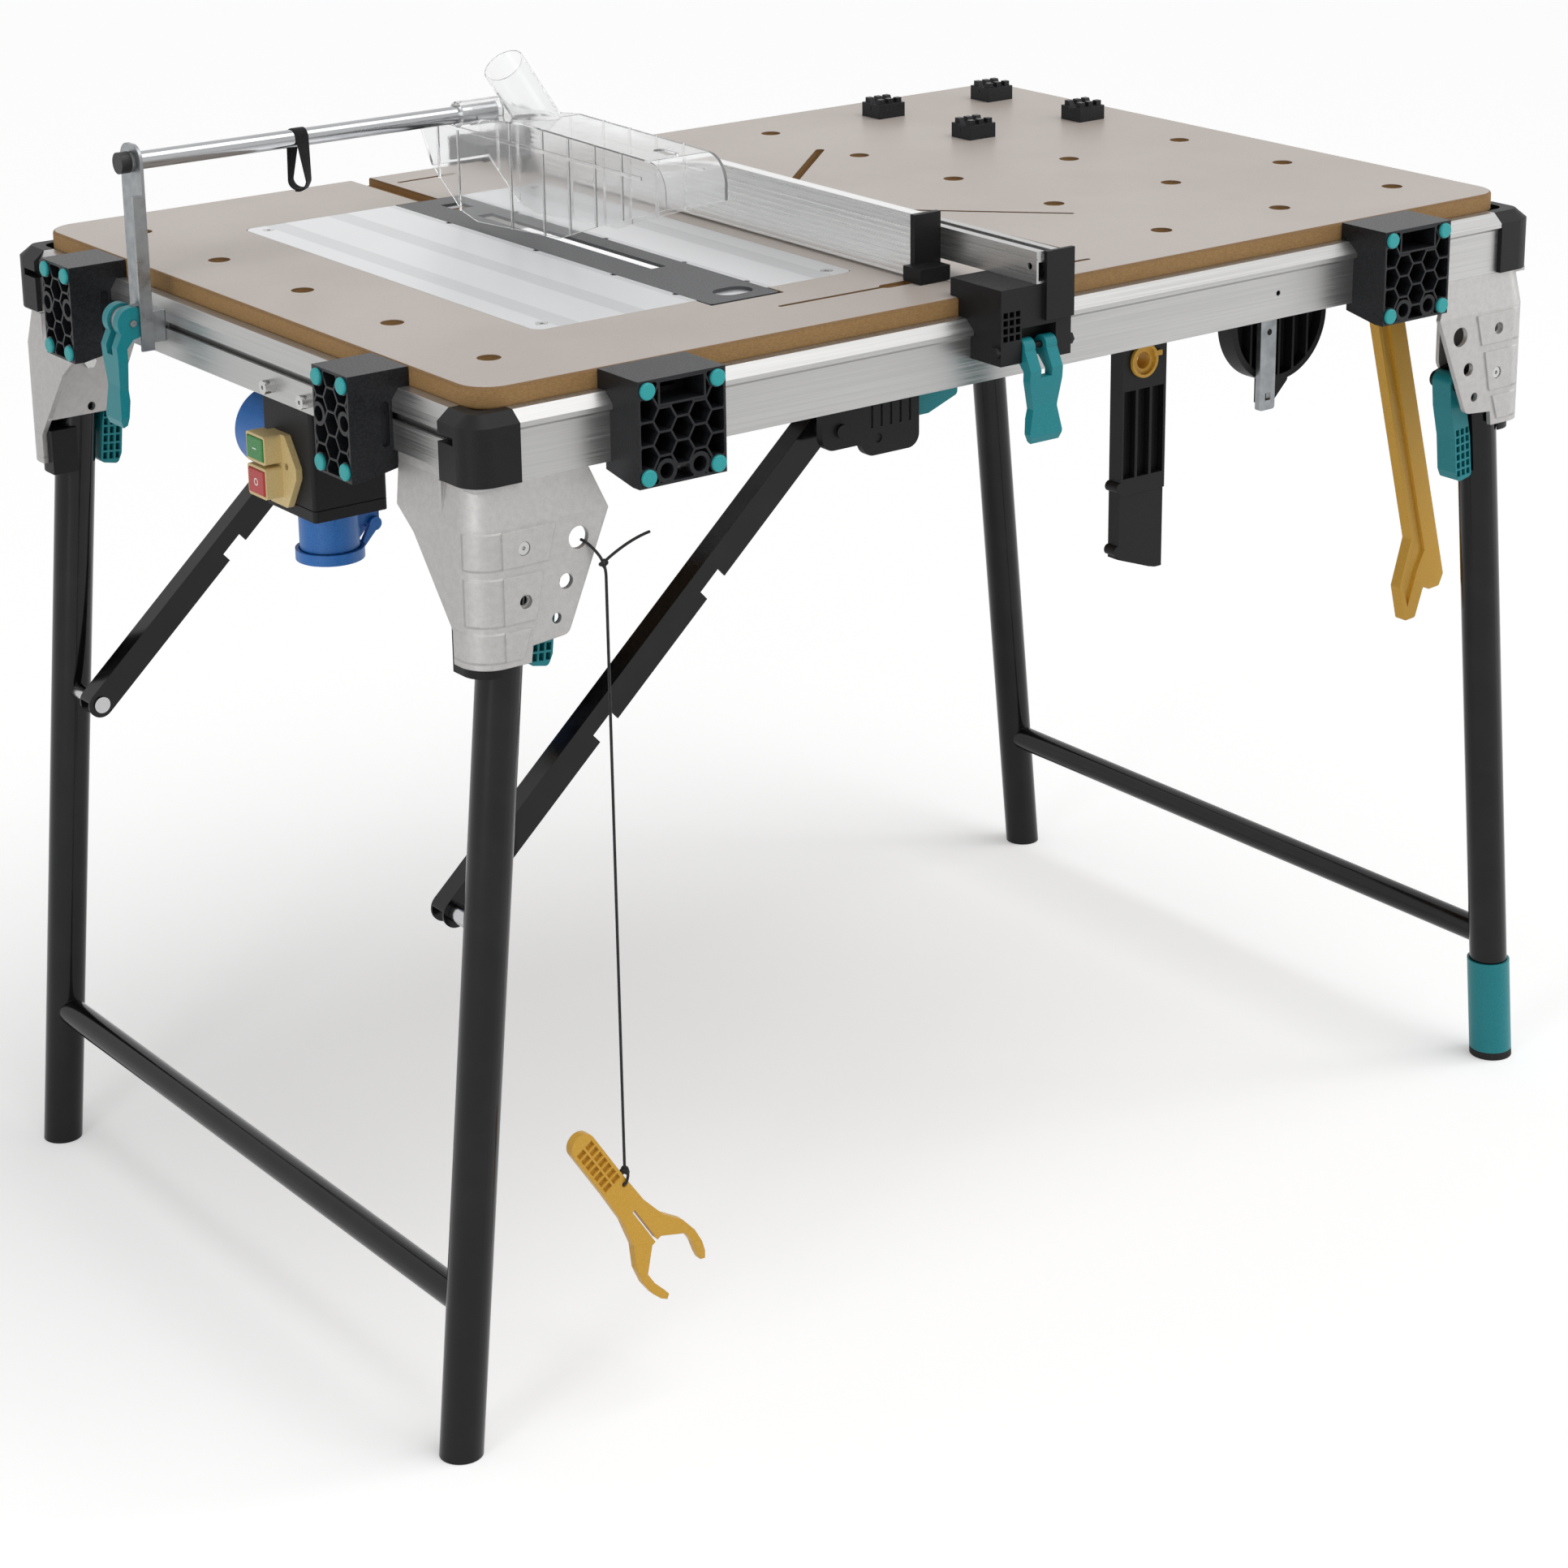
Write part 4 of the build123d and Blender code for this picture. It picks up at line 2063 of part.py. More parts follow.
save(gauge_head, "gauge_head")

with BuildPart() as gauge_bar:
    with BuildSketch(across(gauge_bar_back)):
        with Locations(((gauge_bar_left + gauge_bar_right) / 2, (gauge_bar_low + gauge_bar_high) / 2)):
            Rectangle(gauge_bar_right - gauge_bar_left, gauge_bar_high - gauge_bar_low)
        fillet(vertices(), rivet_radius)
        with Locations((rivet[0], square_hole_z)):
            Rectangle(square_hole, square_hole, mode=Mode.SUBTRACT)
        with Locations(rivet):
            Circle(rivet_radius + running_gap, mode=Mode.SUBTRACT)
    extrude(amount=gauge_bar_back - gauge_bar_front)
save(gauge_bar, "gauge_bar")

stick_back = -288
stick_front = -300
stick_hook = (498, 860)
stick_round = 3
stick_outline = (
    (476, 874),
    (512, 874),
    (605.5, 510),
    (600, 498),
    (585, 497),
    (578, 503),
    (567, 471),
    (552, 470),
    (543, 507),
    (557, 555),
)
stick_recess = (
    (489, 838),
    (500, 838),
    (577, 540),
    (567, 520),
    (556, 484),
    (548, 507),
    (562, 555),
)
stick_recess_depth = 3
with BuildPart() as push_stick:
    with BuildSketch(across(stick_back)):
        with BuildLine():
            Polyline(stick_outline, close=True)
        make_face()
        fillet(vertices(), stick_round)
        with Locations(stick_hook):
            Circle(hook_hole, mode=Mode.SUBTRACT)
    extrude(amount=stick_back - stick_front)
    with BuildSketch(across(stick_front)):
        with BuildLine():
            Polyline(stick_recess, close=True)
        make_face()
    extrude(amount=-stick_recess_depth, mode=Mode.SUBTRACT)
save(push_stick, "push_stick")

# The yellow spring clip on its cord below the front left bracket
clip_front = -412
clip_thickness = 8
clip_x = -524
clip_z = 266
clip_turn = -57.1
clip_half = (
    (0, 12),
    (55, 12),
    (88, 13),
    (116, 18.5),
    (137, 29),
    (155, 32),
    (170, 31),
    (180, 28),
    (186, 24),
    (183, 20),
    (176, 21),
    (163, 24),
    (150, 24),
    (131, 5.5),
    (131, 1.3),
    (89, 1.3),
)
clip_end_radius = 12
clip_hole = (61, 8.2)
clip_hole_radius = 2.6
clip_rib_span = 53
clip_ribs = 7
clip_rib = 2
clip_pocket_width = 8
clip_pocket_depth = 3
clip_plane = Plane(
    origin=(clip_x, clip_front, clip_z),
    x_dir=(cos(radians(clip_turn)), 0, sin(radians(clip_turn))),
    z_dir=(0, -1, 0),
)
with BuildPart() as switch_clip:
    with BuildSketch(clip_plane):
        with BuildLine():
            Polyline(clip_half + tuple((x, -y) for x, y in reversed(clip_half)), close=True)
        make_face()
        Circle(clip_end_radius)
        with Locations(clip_hole):
            Circle(clip_hole_radius, mode=Mode.SUBTRACT)
    extrude(amount=-clip_thickness)
    with BuildSketch(clip_plane):
        clip_pitch = clip_rib_span / clip_ribs
        for way in (-1, 1):
            with Locations((clip_rib_span / 2, way * (clip_pocket_width / 2 + clip_rib / 2))):
                with GridLocations(clip_pitch, 0, clip_ribs, 1):
                    Rectangle(clip_pitch - clip_rib, clip_pocket_width)
    extrude(amount=-clip_pocket_depth, mode=Mode.SUBTRACT)
save(switch_clip, "switch_clip")

# The cord: from the bracket's hole over a bend, straight down to the clip, with a knot at each end
cord_radius = 1.25
knot_radius = 4.5
cord_points = (
    (-497.64, -395.5, 787.23),
    (-497.64, -405.5, 787.23),
    (-483, -408, 768),
    (-481, -408, 232),
)
tail_points = ((-482.5, -408, 776), (-462, -409, 781), (-440, -409, 795))
top_knot = (-483, -408, 775)
low_knot = (-480.8, -408, 229)
low_knot_radius = 6
loop_start = (-484, 219.2)
loop_end = (-481, 228)


def bend_radii(points):
    """The radius of each bend: under half of the shorter run beside it over the half turn's tangent."""
    radii = []
    for before, here, after in zip(points, points[1:], points[2:]):
        run_in = Vector(*here) - Vector(*before)
        run_out = Vector(*after) - Vector(*here)
        half_turn = radians(run_in.get_angle(run_out) / 2)
        radii.append(0.45 * min(run_in.length, run_out.length) / tan(half_turn))
    return radii


def cord(points):
    """A round cord along straight runs joined by arcs."""
    radii = bend_radii(points)
    with BuildPart(mode=Mode.PRIVATE) as shape:
        with BuildLine():
            path = FilletPolyline(*points, radius=radii)
        with BuildSketch(Plane(origin=path @ 0, z_dir=path % 0)):
            Circle(cord_radius)
        sweep(path=path)
    length = path.length
    print("cord radii", [round(radius, 1) for radius in radii], "volume", round(shape.part.volume, 1),
          "section times length", round(pi * cord_radius ** 2 * length, 1))
    return shape.part


with BuildPart() as lanyard:
    add(cord(cord_points))
    add(cord(tail_points))
    with Locations(top_knot):
        Sphere(knot_radius)
    with Locations(low_knot):
        Sphere(low_knot_radius)
    with BuildSketch(across(clip_front - cord_radius * 2)):
        with BuildLine():
            Line(loop_start, loop_end)
        trace(line_width=2 * cord_radius)
        with Locations(loop_start):
            Circle(cord_radius)
    extrude(amount=-clip_thickness - 4 * cord_radius)
    add(switch_clip.part, mode=Mode.SUBTRACT)
save(lanyard, "lanyard")

# Screws, bolts and the hooks that the tools hang on
hex_radius = 2
hex_depth = 2
plate_screw_length = 12
plate_screw_head = 3
pivot_head_radius = 5.5
pivot_head_in = bracket_y - socket_depth
pivot_head_height = 3.3
pivot_nut_in = 346
pivot_nut_height = 5
pivot_nut_radius = 6.5
rail_bolt_y = (-83, -145)
rail_bolt_z = 866
rail_bolt_radius = 6
rail_bolt_head = 10
hook_strap_width = 20
hook_strap_thickness = 3
hook_strap_back = -276
hook_strap_below = 12
hook_end = -302
hook_places = (bar_hook, gauge_hook, stick_hook)
with BuildPart() as fasteners:
    with Locations((plate_middle[0], plate_middle[1], table_height - plate_screw_head)):
        with GridLocations(screw_pitch_x, screw_pitch_y, 2, 2):
            Cone(
                screw_radius,
                screw_head_radius - running_gap,
                plate_screw_head,
                align=(Align.CENTER, Align.CENTER, Align.MIN),
            )
            Cylinder(screw_radius, plate_screw_length, align=(Align.CENTER, Align.CENTER, Align.MAX))
    with BuildSketch(level(table_height)):
        with Locations(plate_middle):
            with GridLocations(screw_pitch_x, screw_pitch_y, 2, 2):
                RegularPolygon(hex_radius, 6)
    extrude(amount=-hex_depth, mode=Mode.SUBTRACT)
    for way in (-1, 1):
        for x, z in ((-pivot_x, pivot_z_left), (pivot_x, pivot_z_right)):
            head_out = pivot_head_in + pivot_head_height
            with BuildSketch(across(way * pivot_head_in)):
                with Locations((x, z)):
                    Circle(pivot_head_radius)
            extrude(amount=-way * pivot_head_height)
            with BuildSketch(across(way * head_out)):
                with Locations((x, z)):
                    RegularPolygon(hex_radius, 6)
            extrude(amount=way * hex_depth, mode=Mode.SUBTRACT)
            with BuildSketch(across(way * pivot_nut_in)):
                with Locations((x, z)):
                    Circle(bolt_radius)
            extrude(amount=-way * (pivot_head_in - pivot_nut_in))
            with BuildSketch(across(way * pivot_nut_in)):
                with Locations((x, z)):
                    RegularPolygon(pivot_nut_radius, 6)
            extrude(amount=-way * pivot_nut_height)
    with BuildSketch(along(-(half_length + rail_face))):
        with Locations([(y, rail_bolt_z) for y in rail_bolt_y]):
            Circle(rail_bolt_radius)
    extrude(amount=-rail_bolt_head)
    with BuildSketch(along(-(half_length + rail_face + rail_bolt_head))):
        with Locations([(y, rail_bolt_z) for y in rail_bolt_y]):
            RegularPolygon(hex_radius, 6)
    extrude(amount=hex_depth, mode=Mode.SUBTRACT)
    for x, z in hook_places:
        with BuildSketch(across(hook_strap_back)):
            with Locations((x, (z - hook_strap_below + board_low) / 2)):
                Rectangle(hook_strap_width, board_low - z + hook_strap_below)
        extrude(amount=hook_strap_thickness)
        with BuildSketch(across(hook_strap_back)):
            with Locations((x, z)):
                Circle(hook_radius)
        extrude(amount=hook_strap_back - hook_end)
save(fasteners, "fasteners")
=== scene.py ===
"""A folding machine table with a saw insert, fence, guard and clamping blocks, in its finishes."""

import math

import bpy
import numpy as np
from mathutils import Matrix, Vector


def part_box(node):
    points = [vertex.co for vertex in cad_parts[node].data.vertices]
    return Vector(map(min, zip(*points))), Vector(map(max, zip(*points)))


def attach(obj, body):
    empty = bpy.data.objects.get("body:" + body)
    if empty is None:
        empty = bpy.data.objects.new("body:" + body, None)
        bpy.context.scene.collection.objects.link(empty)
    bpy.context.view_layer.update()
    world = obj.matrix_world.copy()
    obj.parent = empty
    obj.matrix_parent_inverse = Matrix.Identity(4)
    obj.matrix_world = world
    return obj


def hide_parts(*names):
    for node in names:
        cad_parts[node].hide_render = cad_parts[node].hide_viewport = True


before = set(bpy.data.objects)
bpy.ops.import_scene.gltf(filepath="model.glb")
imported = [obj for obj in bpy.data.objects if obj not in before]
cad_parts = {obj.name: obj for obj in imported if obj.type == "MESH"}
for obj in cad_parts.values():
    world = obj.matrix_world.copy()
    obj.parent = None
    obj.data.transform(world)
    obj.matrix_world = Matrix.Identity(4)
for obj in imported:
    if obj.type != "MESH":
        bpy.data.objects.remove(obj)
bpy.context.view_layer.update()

# The camera. It stands a little above the table's height, out to the front left, with a long lens
# and a small downward shift, so that the legs stay nearly upright.
camera_place = (-2.0193, -2.7105, 1.6543)
camera_turn = (72.4084, 0.675, -36.8737)
camera_lens = 83.566
camera_shift = -0.1501

camera = bpy.data.objects.new("camera", bpy.data.cameras.new("camera"))
bpy.context.scene.collection.objects.link(camera)
camera.data.sensor_width = 36
camera.data.lens = camera_lens
camera.data.shift_y = camera_shift
camera.location = camera_place
camera.rotation_euler = [math.radians(angle) for angle in camera_turn]
bpy.context.scene.camera = camera

# The thin braided cord that holds the spring clip. It comes out of the bracket's vent hole, hangs
# straight down and is tied at both ends, and the top knot leaves a short stiff tail.
cord_thickness = 0.0025
cord_black = (0.012, 0.012, 0.013)
cord_route = np.array([
    (-0.49764, -0.3955, 0.78723),
    (-0.49764, -0.4055, 0.78723),
    (-0.483, -0.408, 0.768),
    (-0.4829, -0.408, 0.744),
    (-0.481, -0.408, 0.232),
])
tail_route = np.array([
    (-0.4845, -0.408, 0.769),
    (-0.462, -0.409, 0.783),
    (-0.4405, -0.409, 0.786),
])
top_knot_place = (-0.4848, -0.4077, 0.7674)
low_knot_place = (-0.4807, -0.408, 0.2295)
clip_hole_place = (-0.484, -0.408, 0.2192)
top_knot_size = 0.0031
low_knot_size = 0.0036
loop_half_width = 0.0057
strand_light = (0.035, 0.035, 0.037)


def finish(name, colour, roughness, **sockets):
    """A finish with one Principled shader, whose plain values stand on the shader's own sockets."""
    made = bpy.data.materials.new(name)
    made.use_nodes = True
    shader = made.node_tree.nodes["Principled BSDF"]
    shader.inputs["Base Color"].default_value = (*colour, 1)
    shader.inputs["Roughness"].default_value = roughness
    for key, value in sockets.items():
        shader.inputs[key.replace("_", " ").title().replace("Ior", "IOR")].default_value = value
    made.diffuse_color = (*colour, 1)
    return made


def add(made, kind, inputs, **settings):
    """Adds a shader node. An input that is a socket is linked, any other is set."""
    node = made.node_tree.nodes.new("ShaderNode" + kind)
    for key, value in settings.items():
        setattr(node, key, value)
    for key, value in inputs.items():
        if isinstance(value, bpy.types.NodeSocket):
            made.node_tree.links.new(value, node.inputs[key])
        else:
            node.inputs[key].default_value = value
    return node


def feed(made, socket, value):
    """Links a value into the named socket of the finish's shader."""
    made.node_tree.links.new(value, made.node_tree.nodes["Principled BSDF"].inputs[socket])


def place_on(made):
    """The object coordinates, split into along, back and up."""
    coordinates = add(made, "TexCoord", {})
    split = add(made, "SeparateXYZ", {0: coordinates.outputs["Object"]})
    return split.outputs[0], split.outputs[1], split.outputs[2]


def grain(made, scale, detail=4.0, stretch=(1, 1, 1), roughness=0.55):
    """Noise on the object coordinates, drawn out along the axes whose stretch is small."""
    coordinates = add(made, "TexCoord", {})
    placed = add(made, "Mapping", {0: coordinates.outputs["Object"], 3: stretch})
    return add(made, "TexNoise", {
        "Vector": placed.outputs[0], "Scale": scale, "Detail": detail, "Roughness": roughness,
    }).outputs["Fac"]


def ramp(made, value, low, high, start=0.0, end=1.0):
    """A smooth step: start below low, end above high."""
    return add(made, "MapRange", {0: value, 1: low, 2: high, 3: start, 4: end},
               interpolation_type="SMOOTHSTEP").outputs[0]


def sums(made, operation, first, second=0.0, third=0.0):
    """One sum on values or sockets."""
    return add(made, "Math", {0: first, 1: second, 2: third}, operation=operation).outputs[0]


def between(made, value, low, high, soft=0.0003):
    """One from low to high, none outside, with soft borders."""
    return sums(made, "MULTIPLY", ramp(made, value, low - soft, low + soft),
                ramp(made, value, high - soft, high + soft, 1.0, 0.0))


def tint(made, amount, low, high):
    """Goes from the low colour to the high one with the amount."""
    low = low if isinstance(low, bpy.types.NodeSocket) else (*low, 1)
    high = high if isinstance(high, bpy.types.NodeSocket) else (*high, 1)
    return add(made, "Mix", {0: amount, 6: low, 7: high}, data_type="RGBA").outputs[2]


def relief(made, height, depth, edge):
    """Bumps of that depth in metres on faces whose edges look rounded by the edge radius."""
    rounded = add(made, "Bevel", {"Radius": edge}, samples=4)
    bumped = add(made, "Bump", {
        "Height": height, "Distance": depth, "Normal": rounded.outputs[0],
    })
    feed(made, "Normal", bumped.outputs[0])


def carried_ring(path, radius, sides, across):
    """A closed tube: a circle of the radius carried along the path, square to its tangent, one side
    of the circle's frame being the cross product of the tangent and the across direction."""
    tangent = np.roll(path, -1, 0) - np.roll(path, 1, 0)
    tangent /= np.linalg.norm(tangent, axis=1, keepdims=True)
    side = np.cross(tangent, across)
    side /= np.linalg.norm(side, axis=1, keepdims=True)
    other = np.cross(tangent, side)
    turn = np.linspace(0, 2 * np.pi, sides, endpoint=False)[None, :, None]
    return path[:, None] + radius * (np.cos(turn) * side[:, None] + np.sin(turn) * other[:, None])


def skin(name, rings, made, closed):
    """A mesh over rings of points, whole arrays at once; an open tube gets a face over each end."""
    count, sides = rings.shape[:2]
    rows = count if closed else count - 1
    i = np.arange(rows)[:, None]
    j = np.arange(sides)[None, :]
    after, beside = (i + 1) % count, (j + 1) % sides
    faces = np.stack(np.broadcast_arrays(
        i * sides + j, i * sides + beside, after * sides + beside, after * sides + j), -1)
    mesh = bpy.data.meshes.new(name)
    faces = faces.reshape(-1, 4).tolist()
    if not closed:
        faces += [list(range(sides - 1, -1, -1)), list(range((count - 1) * sides, count * sides))]
    mesh.from_pydata(rings.reshape(-1, 3).tolist(), [], faces)
    mesh.polygons.foreach_set("use_smooth", np.ones(len(mesh.polygons), bool))
    mesh.materials.append(made)
    mesh.update()
    piece = bpy.data.objects.new(name, mesh)
    bpy.context.scene.collection.objects.link(piece)
    return piece


def cord_curve(name, route, made):
    """A smooth cord: a NURBS spline of order three whose control points are the route's."""
    curve = bpy.data.curves.new(name, "CURVE")
    curve.dimensions = "3D"
    curve.bevel_depth = cord_thickness / 2
    curve.bevel_resolution = 4
    curve.resolution_u = 24
    curve.use_fill_caps = True
    spline = curve.splines.new("NURBS")
    spline.points.add(len(route) - 1)
    spline.points.foreach_set("co", np.c_[route, np.ones(len(route))].ravel())
    spline.order_u = 3
    spline.use_endpoint_u = True
    curve.materials.append(made)
    piece = bpy.data.objects.new(name, curve)
    bpy.context.scene.collection.objects.link(piece)
    return piece


def overhand_knot(name, place, size, made, turn):
    """A pulled overhand knot: a tube along a trefoil of a third of the size, which runs (sin t +
    2 sin 2t, -1.25 sin 3t, cos t - 2 cos 2t) along, back and up, turned about its middle."""
    t = np.linspace(0, 2 * np.pi, 72, endpoint=False)
    trefoil = np.stack([np.sin(t) + 2 * np.sin(2 * t), -1.25 * np.sin(3 * t),
                        np.cos(t) - 2 * np.cos(2 * t)], 1) * size / 3
    cos, sin = math.cos(turn), math.sin(turn)
    trefoil = trefoil @ np.array([(cos, 0, sin), (0, 1, 0), (-sin, 0, cos)])
    rings = carried_ring(np.array(place) + trefoil, cord_thickness / 2, 12, (0, 1, 0))
    return skin(name, rings, made, True)


def tied_loop(name, top, bottom, half_width, made):
    """The loop through the clip's hole: a tube along a rounded rectangle, whose two waves are the
    cosine and the sine of the turn to the power 0.6, with their sign."""
    t = np.linspace(0, 2 * np.pi, 48, endpoint=False)
    rounded = lambda wave: np.sign(wave) * np.abs(wave) ** 0.6
    top, bottom = np.array(top), np.array(bottom)
    path = ((top + bottom) / 2 + rounded(np.cos(t))[:, None] * (0, half_width, 0)
            + rounded(np.sin(t))[:, None] * (top - bottom) / 2)
    return skin(name, carried_ring(path, cord_thickness / 2, 12, (1, 0, 0)), made, True)


braid = finish("braided_cord", cord_black, 0.8, specular_ior_level=0.2, sheen_weight=0.2)
strands = grain(braid, 1500, 2.0, (1, 1, 0.35))
feed(braid, "Base Color",
     tint(braid, ramp(braid, strands, 0.35, 0.65), cord_black, strand_light))
relief(braid, strands, 0.0003, 0.0001)

pull_cord = cord_curve("pull_cord", cord_route, braid)
cord_tail = cord_curve("cord_tail", tail_route, braid)
knot_top = overhand_knot("cord_knot_top", top_knot_place, top_knot_size, braid, 0.3)
knot_low = overhand_knot("cord_knot_low", low_knot_place, low_knot_size, braid, 1.1)
clip_loop = tied_loop("clip_loop", low_knot_place, clip_hole_place, loop_half_width, braid)
for piece in (pull_cord, cord_tail, knot_top, knot_low, clip_loop):
    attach(piece, "clip")
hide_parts("lanyard")

# The two boards: fibreboard with a thin grey-brown laminate on top. The eased rim, the grooves and
# the holes are cut after laminating, so they show the brown board, scorched just under the surface.
board_top = 0.92
laminate_warm = (0.49, 0.43, 0.385)
laminate_pale = (0.55, 0.49, 0.45)
laminate_fleck = (0.38, 0.315, 0.27)
laminate_glint = (0.62, 0.565, 0.525)
board_brown = (0.40, 0.235, 0.09)
board_dark = (0.30, 0.17, 0.062)
scorched = (0.11, 0.058, 0.025)


def dress(made, *names):
    """Gives CAD pieces a finish of their own."""
    for name in names:
        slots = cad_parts[name].data.materials
        slots.clear()
        slots.append(made)


board = finish("laminated_fibreboard", laminate_warm, 0.42, specular_ior_level=0.45)
_, _, up = place_on(board)
clouds = grain(board, 3.5, 5.0)
flecks = grain(board, 780, 2.0)
fibres = grain(board, 420, 6.0, (1, 1, 2.2), 0.7)
laminate = tint(board, ramp(board, clouds, 0.3, 0.7), laminate_warm, laminate_pale)
laminate = tint(board, ramp(board, flecks, 0.6, 0.72, 0.0, 0.45), laminate, laminate_fleck)
laminate = tint(board, ramp(board, flecks, 0.4, 0.28, 0.0, 0.35), laminate, laminate_glint)
edge = tint(board, ramp(board, fibres, 0.35, 0.68), board_dark, board_brown)
for start, end, share in ((0.0036, 0.0012, 0.4), (0.0145, 0.019, 0.3)):
    burnt = ramp(board, up, board_top - start, board_top - end, 0.0, share)
    edge = tint(board, burnt, edge, scorched)
on_top = ramp(board, up, board_top - 0.0003, board_top - 0.0001)
feed(board, "Base Color", tint(board, on_top, edge, laminate))
bare = sums(board, "SUBTRACT", 1.0, on_top)
feed(board, "Roughness", sums(board, "ADD", 0.4, sums(board, "MULTIPLY", bare, 0.35)))
relief(board, sums(board, "ADD", sums(board, "MULTIPLY", flecks, 0.12),
                   sums(board, "MULTIPLY", fibres, bare)), 0.0004, 0.0008)
dress(board, "machine_board", "work_board")

# The saw plate: rolled aluminium, lacquered, with five darker bands printed along it. It lies in a
# seat in the left board and is held by four countersunk screws.
plate_left = -0.438
band_pitch = 0.0666
band_width = 0.021
plate_light = (0.78, 0.785, 0.795)
plate_band = (0.58, 0.585, 0.595)

plate = finish("lacquered_aluminium", plate_light, 0.34, metallic=0.85)
along, _, _ = place_on(plate)
rolled = grain(plate, 900, 3.0, (1, 0.01, 1))
in_band = sums(plate, "PINGPONG", sums(plate, "ADD", sums(plate, "SUBTRACT", along, plate_left),
                                        -band_pitch / 2), band_pitch / 2)
bands = ramp(plate, in_band, band_width / 2 + 0.0006, band_width / 2 - 0.0006)
plain = tint(plate, rolled, (0.73, 0.735, 0.745), plate_light)
feed(plate, "Base Color", tint(plate, sums(plate, "MULTIPLY", bands, 0.6), plain, plate_band))
feed(plate, "Roughness", ramp(plate, rolled, 0.2, 0.8, 0.3, 0.42))
relief(plate, rolled, 0.00004, 0.0005)
dress(plate, "machine_plate")

# The insert round the saw blade: a grey powder-coated pressing with the blade's slot, a sight
# window and a finger hole. It drops into the plate from above.
insert_grey = (0.06, 0.062, 0.065)

insert = finish("coated_insert", insert_grey, 0.38, specular_ior_level=0.3)
coat = grain(insert, 650, 3.0)
feed(insert, "Base Color", tint(insert, coat, (0.048, 0.05, 0.053), (0.072, 0.074, 0.078)))
feed(insert, "Roughness", ramp(insert, coat, 0.3, 0.7, 0.32, 0.46))
relief(insert, coat, 0.00012, 0.0006)
dress(insert, "blade_insert")

# The frame: satin anodised extrusions, drawn lengthways. The long rails have a ruler on their
# ledge, a plain row of ticks pressed into the metal and filled with black.
aluminium_light = (0.50, 0.497, 0.49)
aluminium_line = (0.44, 0.437, 0.43)
ledge_height = 0.904
ledge_from = 0.3815
tick_pitch = 0.005
tick_half = 0.00022
tick_length = 0.003
tick_black = (0.05, 0.05, 0.05)


def drawn_metal(name, light, line, roughness, stretch):
    """Extruded metal: fine lines along its length in colour, gloss and relief."""
    made = finish(name, light, roughness, metallic=0.92)
    lines = grain(made, 900, 2.0, stretch)
    broad = grain(made, 60, 2.0, stretch)
    worn = tint(made, ramp(made, lines, 0.3, 0.7), line, light)
    worn = tint(made, ramp(made, broad, 0.35, 0.65, 0.0, 0.25), worn, line)
    feed(made, "Roughness", ramp(made, lines, 0.25, 0.75, roughness - 0.05, roughness + 0.07))
    relief(made, lines, 0.00005, 0.0005)
    return made, worn


long_rail, worn = drawn_metal("extruded_long", aluminium_light, aluminium_line, 0.34, (0.006, 1, 1))
along, back, up = place_on(long_rail)
from_edge = sums(long_rail, "SUBTRACT", sums(long_rail, "ABSOLUTE", back), ledge_from)
every_tick, other_tick = (
    ramp(long_rail, sums(long_rail, "PINGPONG", along, pitch), tick_half * 1.4, tick_half * 0.6)
    for pitch in (tick_pitch / 2, tick_pitch))
reach = sums(long_rail, "ADD", tick_length, sums(long_rail, "MULTIPLY", other_tick, tick_length))
on_ledge = ramp(long_rail, up, ledge_height - 0.0004, ledge_height - 0.0002)
ticks = sums(long_rail, "MULTIPLY", every_tick, sums(
    long_rail, "MULTIPLY", sums(long_rail, "LESS_THAN", from_edge, reach), on_ledge))
ticks = sums(long_rail, "MULTIPLY", ticks, sums(long_rail, "GREATER_THAN", from_edge, 0.0004))
feed(long_rail, "Base Color", tint(long_rail, ticks, worn, tick_black))
dress(long_rail, "rail_front", "rail_back")

short_rail, worn = drawn_metal("extruded_short", aluminium_light, aluminium_line, 0.34,
                               (1, 0.006, 1))
feed(short_rail, "Base Color", worn)
dress(short_rail, "rail_left", "rail_right", "cross_beam")

# The corner caps: black moulded plastic with a fine spark texture, pressed into the rails' ends.
# The strut locks, the leg stops and the leg heads are of the same plastic.
plastic_black = (0.006, 0.006, 0.0065)
plastic_worn = (0.011, 0.011, 0.012)


def moulded(name, colour, lighter, roughness, texture, level=0.2, pits=0.00012):
    """Moulded plastic: spark texture in relief, a little lighter and duller on its peaks. Level is
    its specular level, and pits is the relief's depth in metres."""
    made = finish(name, colour, roughness, specular_ior_level=level)
    sparks = grain(made, texture, 3.0)
    broad = grain(made, 18, 3.0)
    shade = tint(made, ramp(made, sparks, 0.35, 0.7), colour, lighter)
    shade = tint(made, ramp(made, broad, 0.35, 0.7, 0.0, 0.3), shade, lighter)
    feed(made, "Base Color", shade)
    feed(made, "Roughness", ramp(made, sparks, 0.3, 0.7, roughness - 0.05, roughness + 0.08))
    relief(made, sparks, pits, 0.0007)
    return made


black_plastic = moulded("black_moulding", plastic_black, plastic_worn, 0.45, 900)
dress(black_plastic, "corner_caps", "strut_locks", "leg_stops", "left_leg_heads", "right_leg_heads")

# The leg brackets: pressure-cast aluminium, blasted to an even grey. Each wraps a corner of the
# frame and is bolted to the rails from inside, and its raised panels run on round the corner.
cast_grey = (0.45, 0.44, 0.43)
cast_pale = (0.49, 0.48, 0.47)
cast_pitted = (0.37, 0.36, 0.35)
bracket_low = float(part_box("bracket_front_left")[0][2])
bracket_corner = 0.576
panel_ends = 0.383
raised_bands = ((0.0055, 0.0295, 0.0), (0.0355, 0.0745, panel_ends), (0.082, 0.112, panel_ends))
band_edge = 0.0014
grit_depth = 0.00012
band_in_grits = 9.0

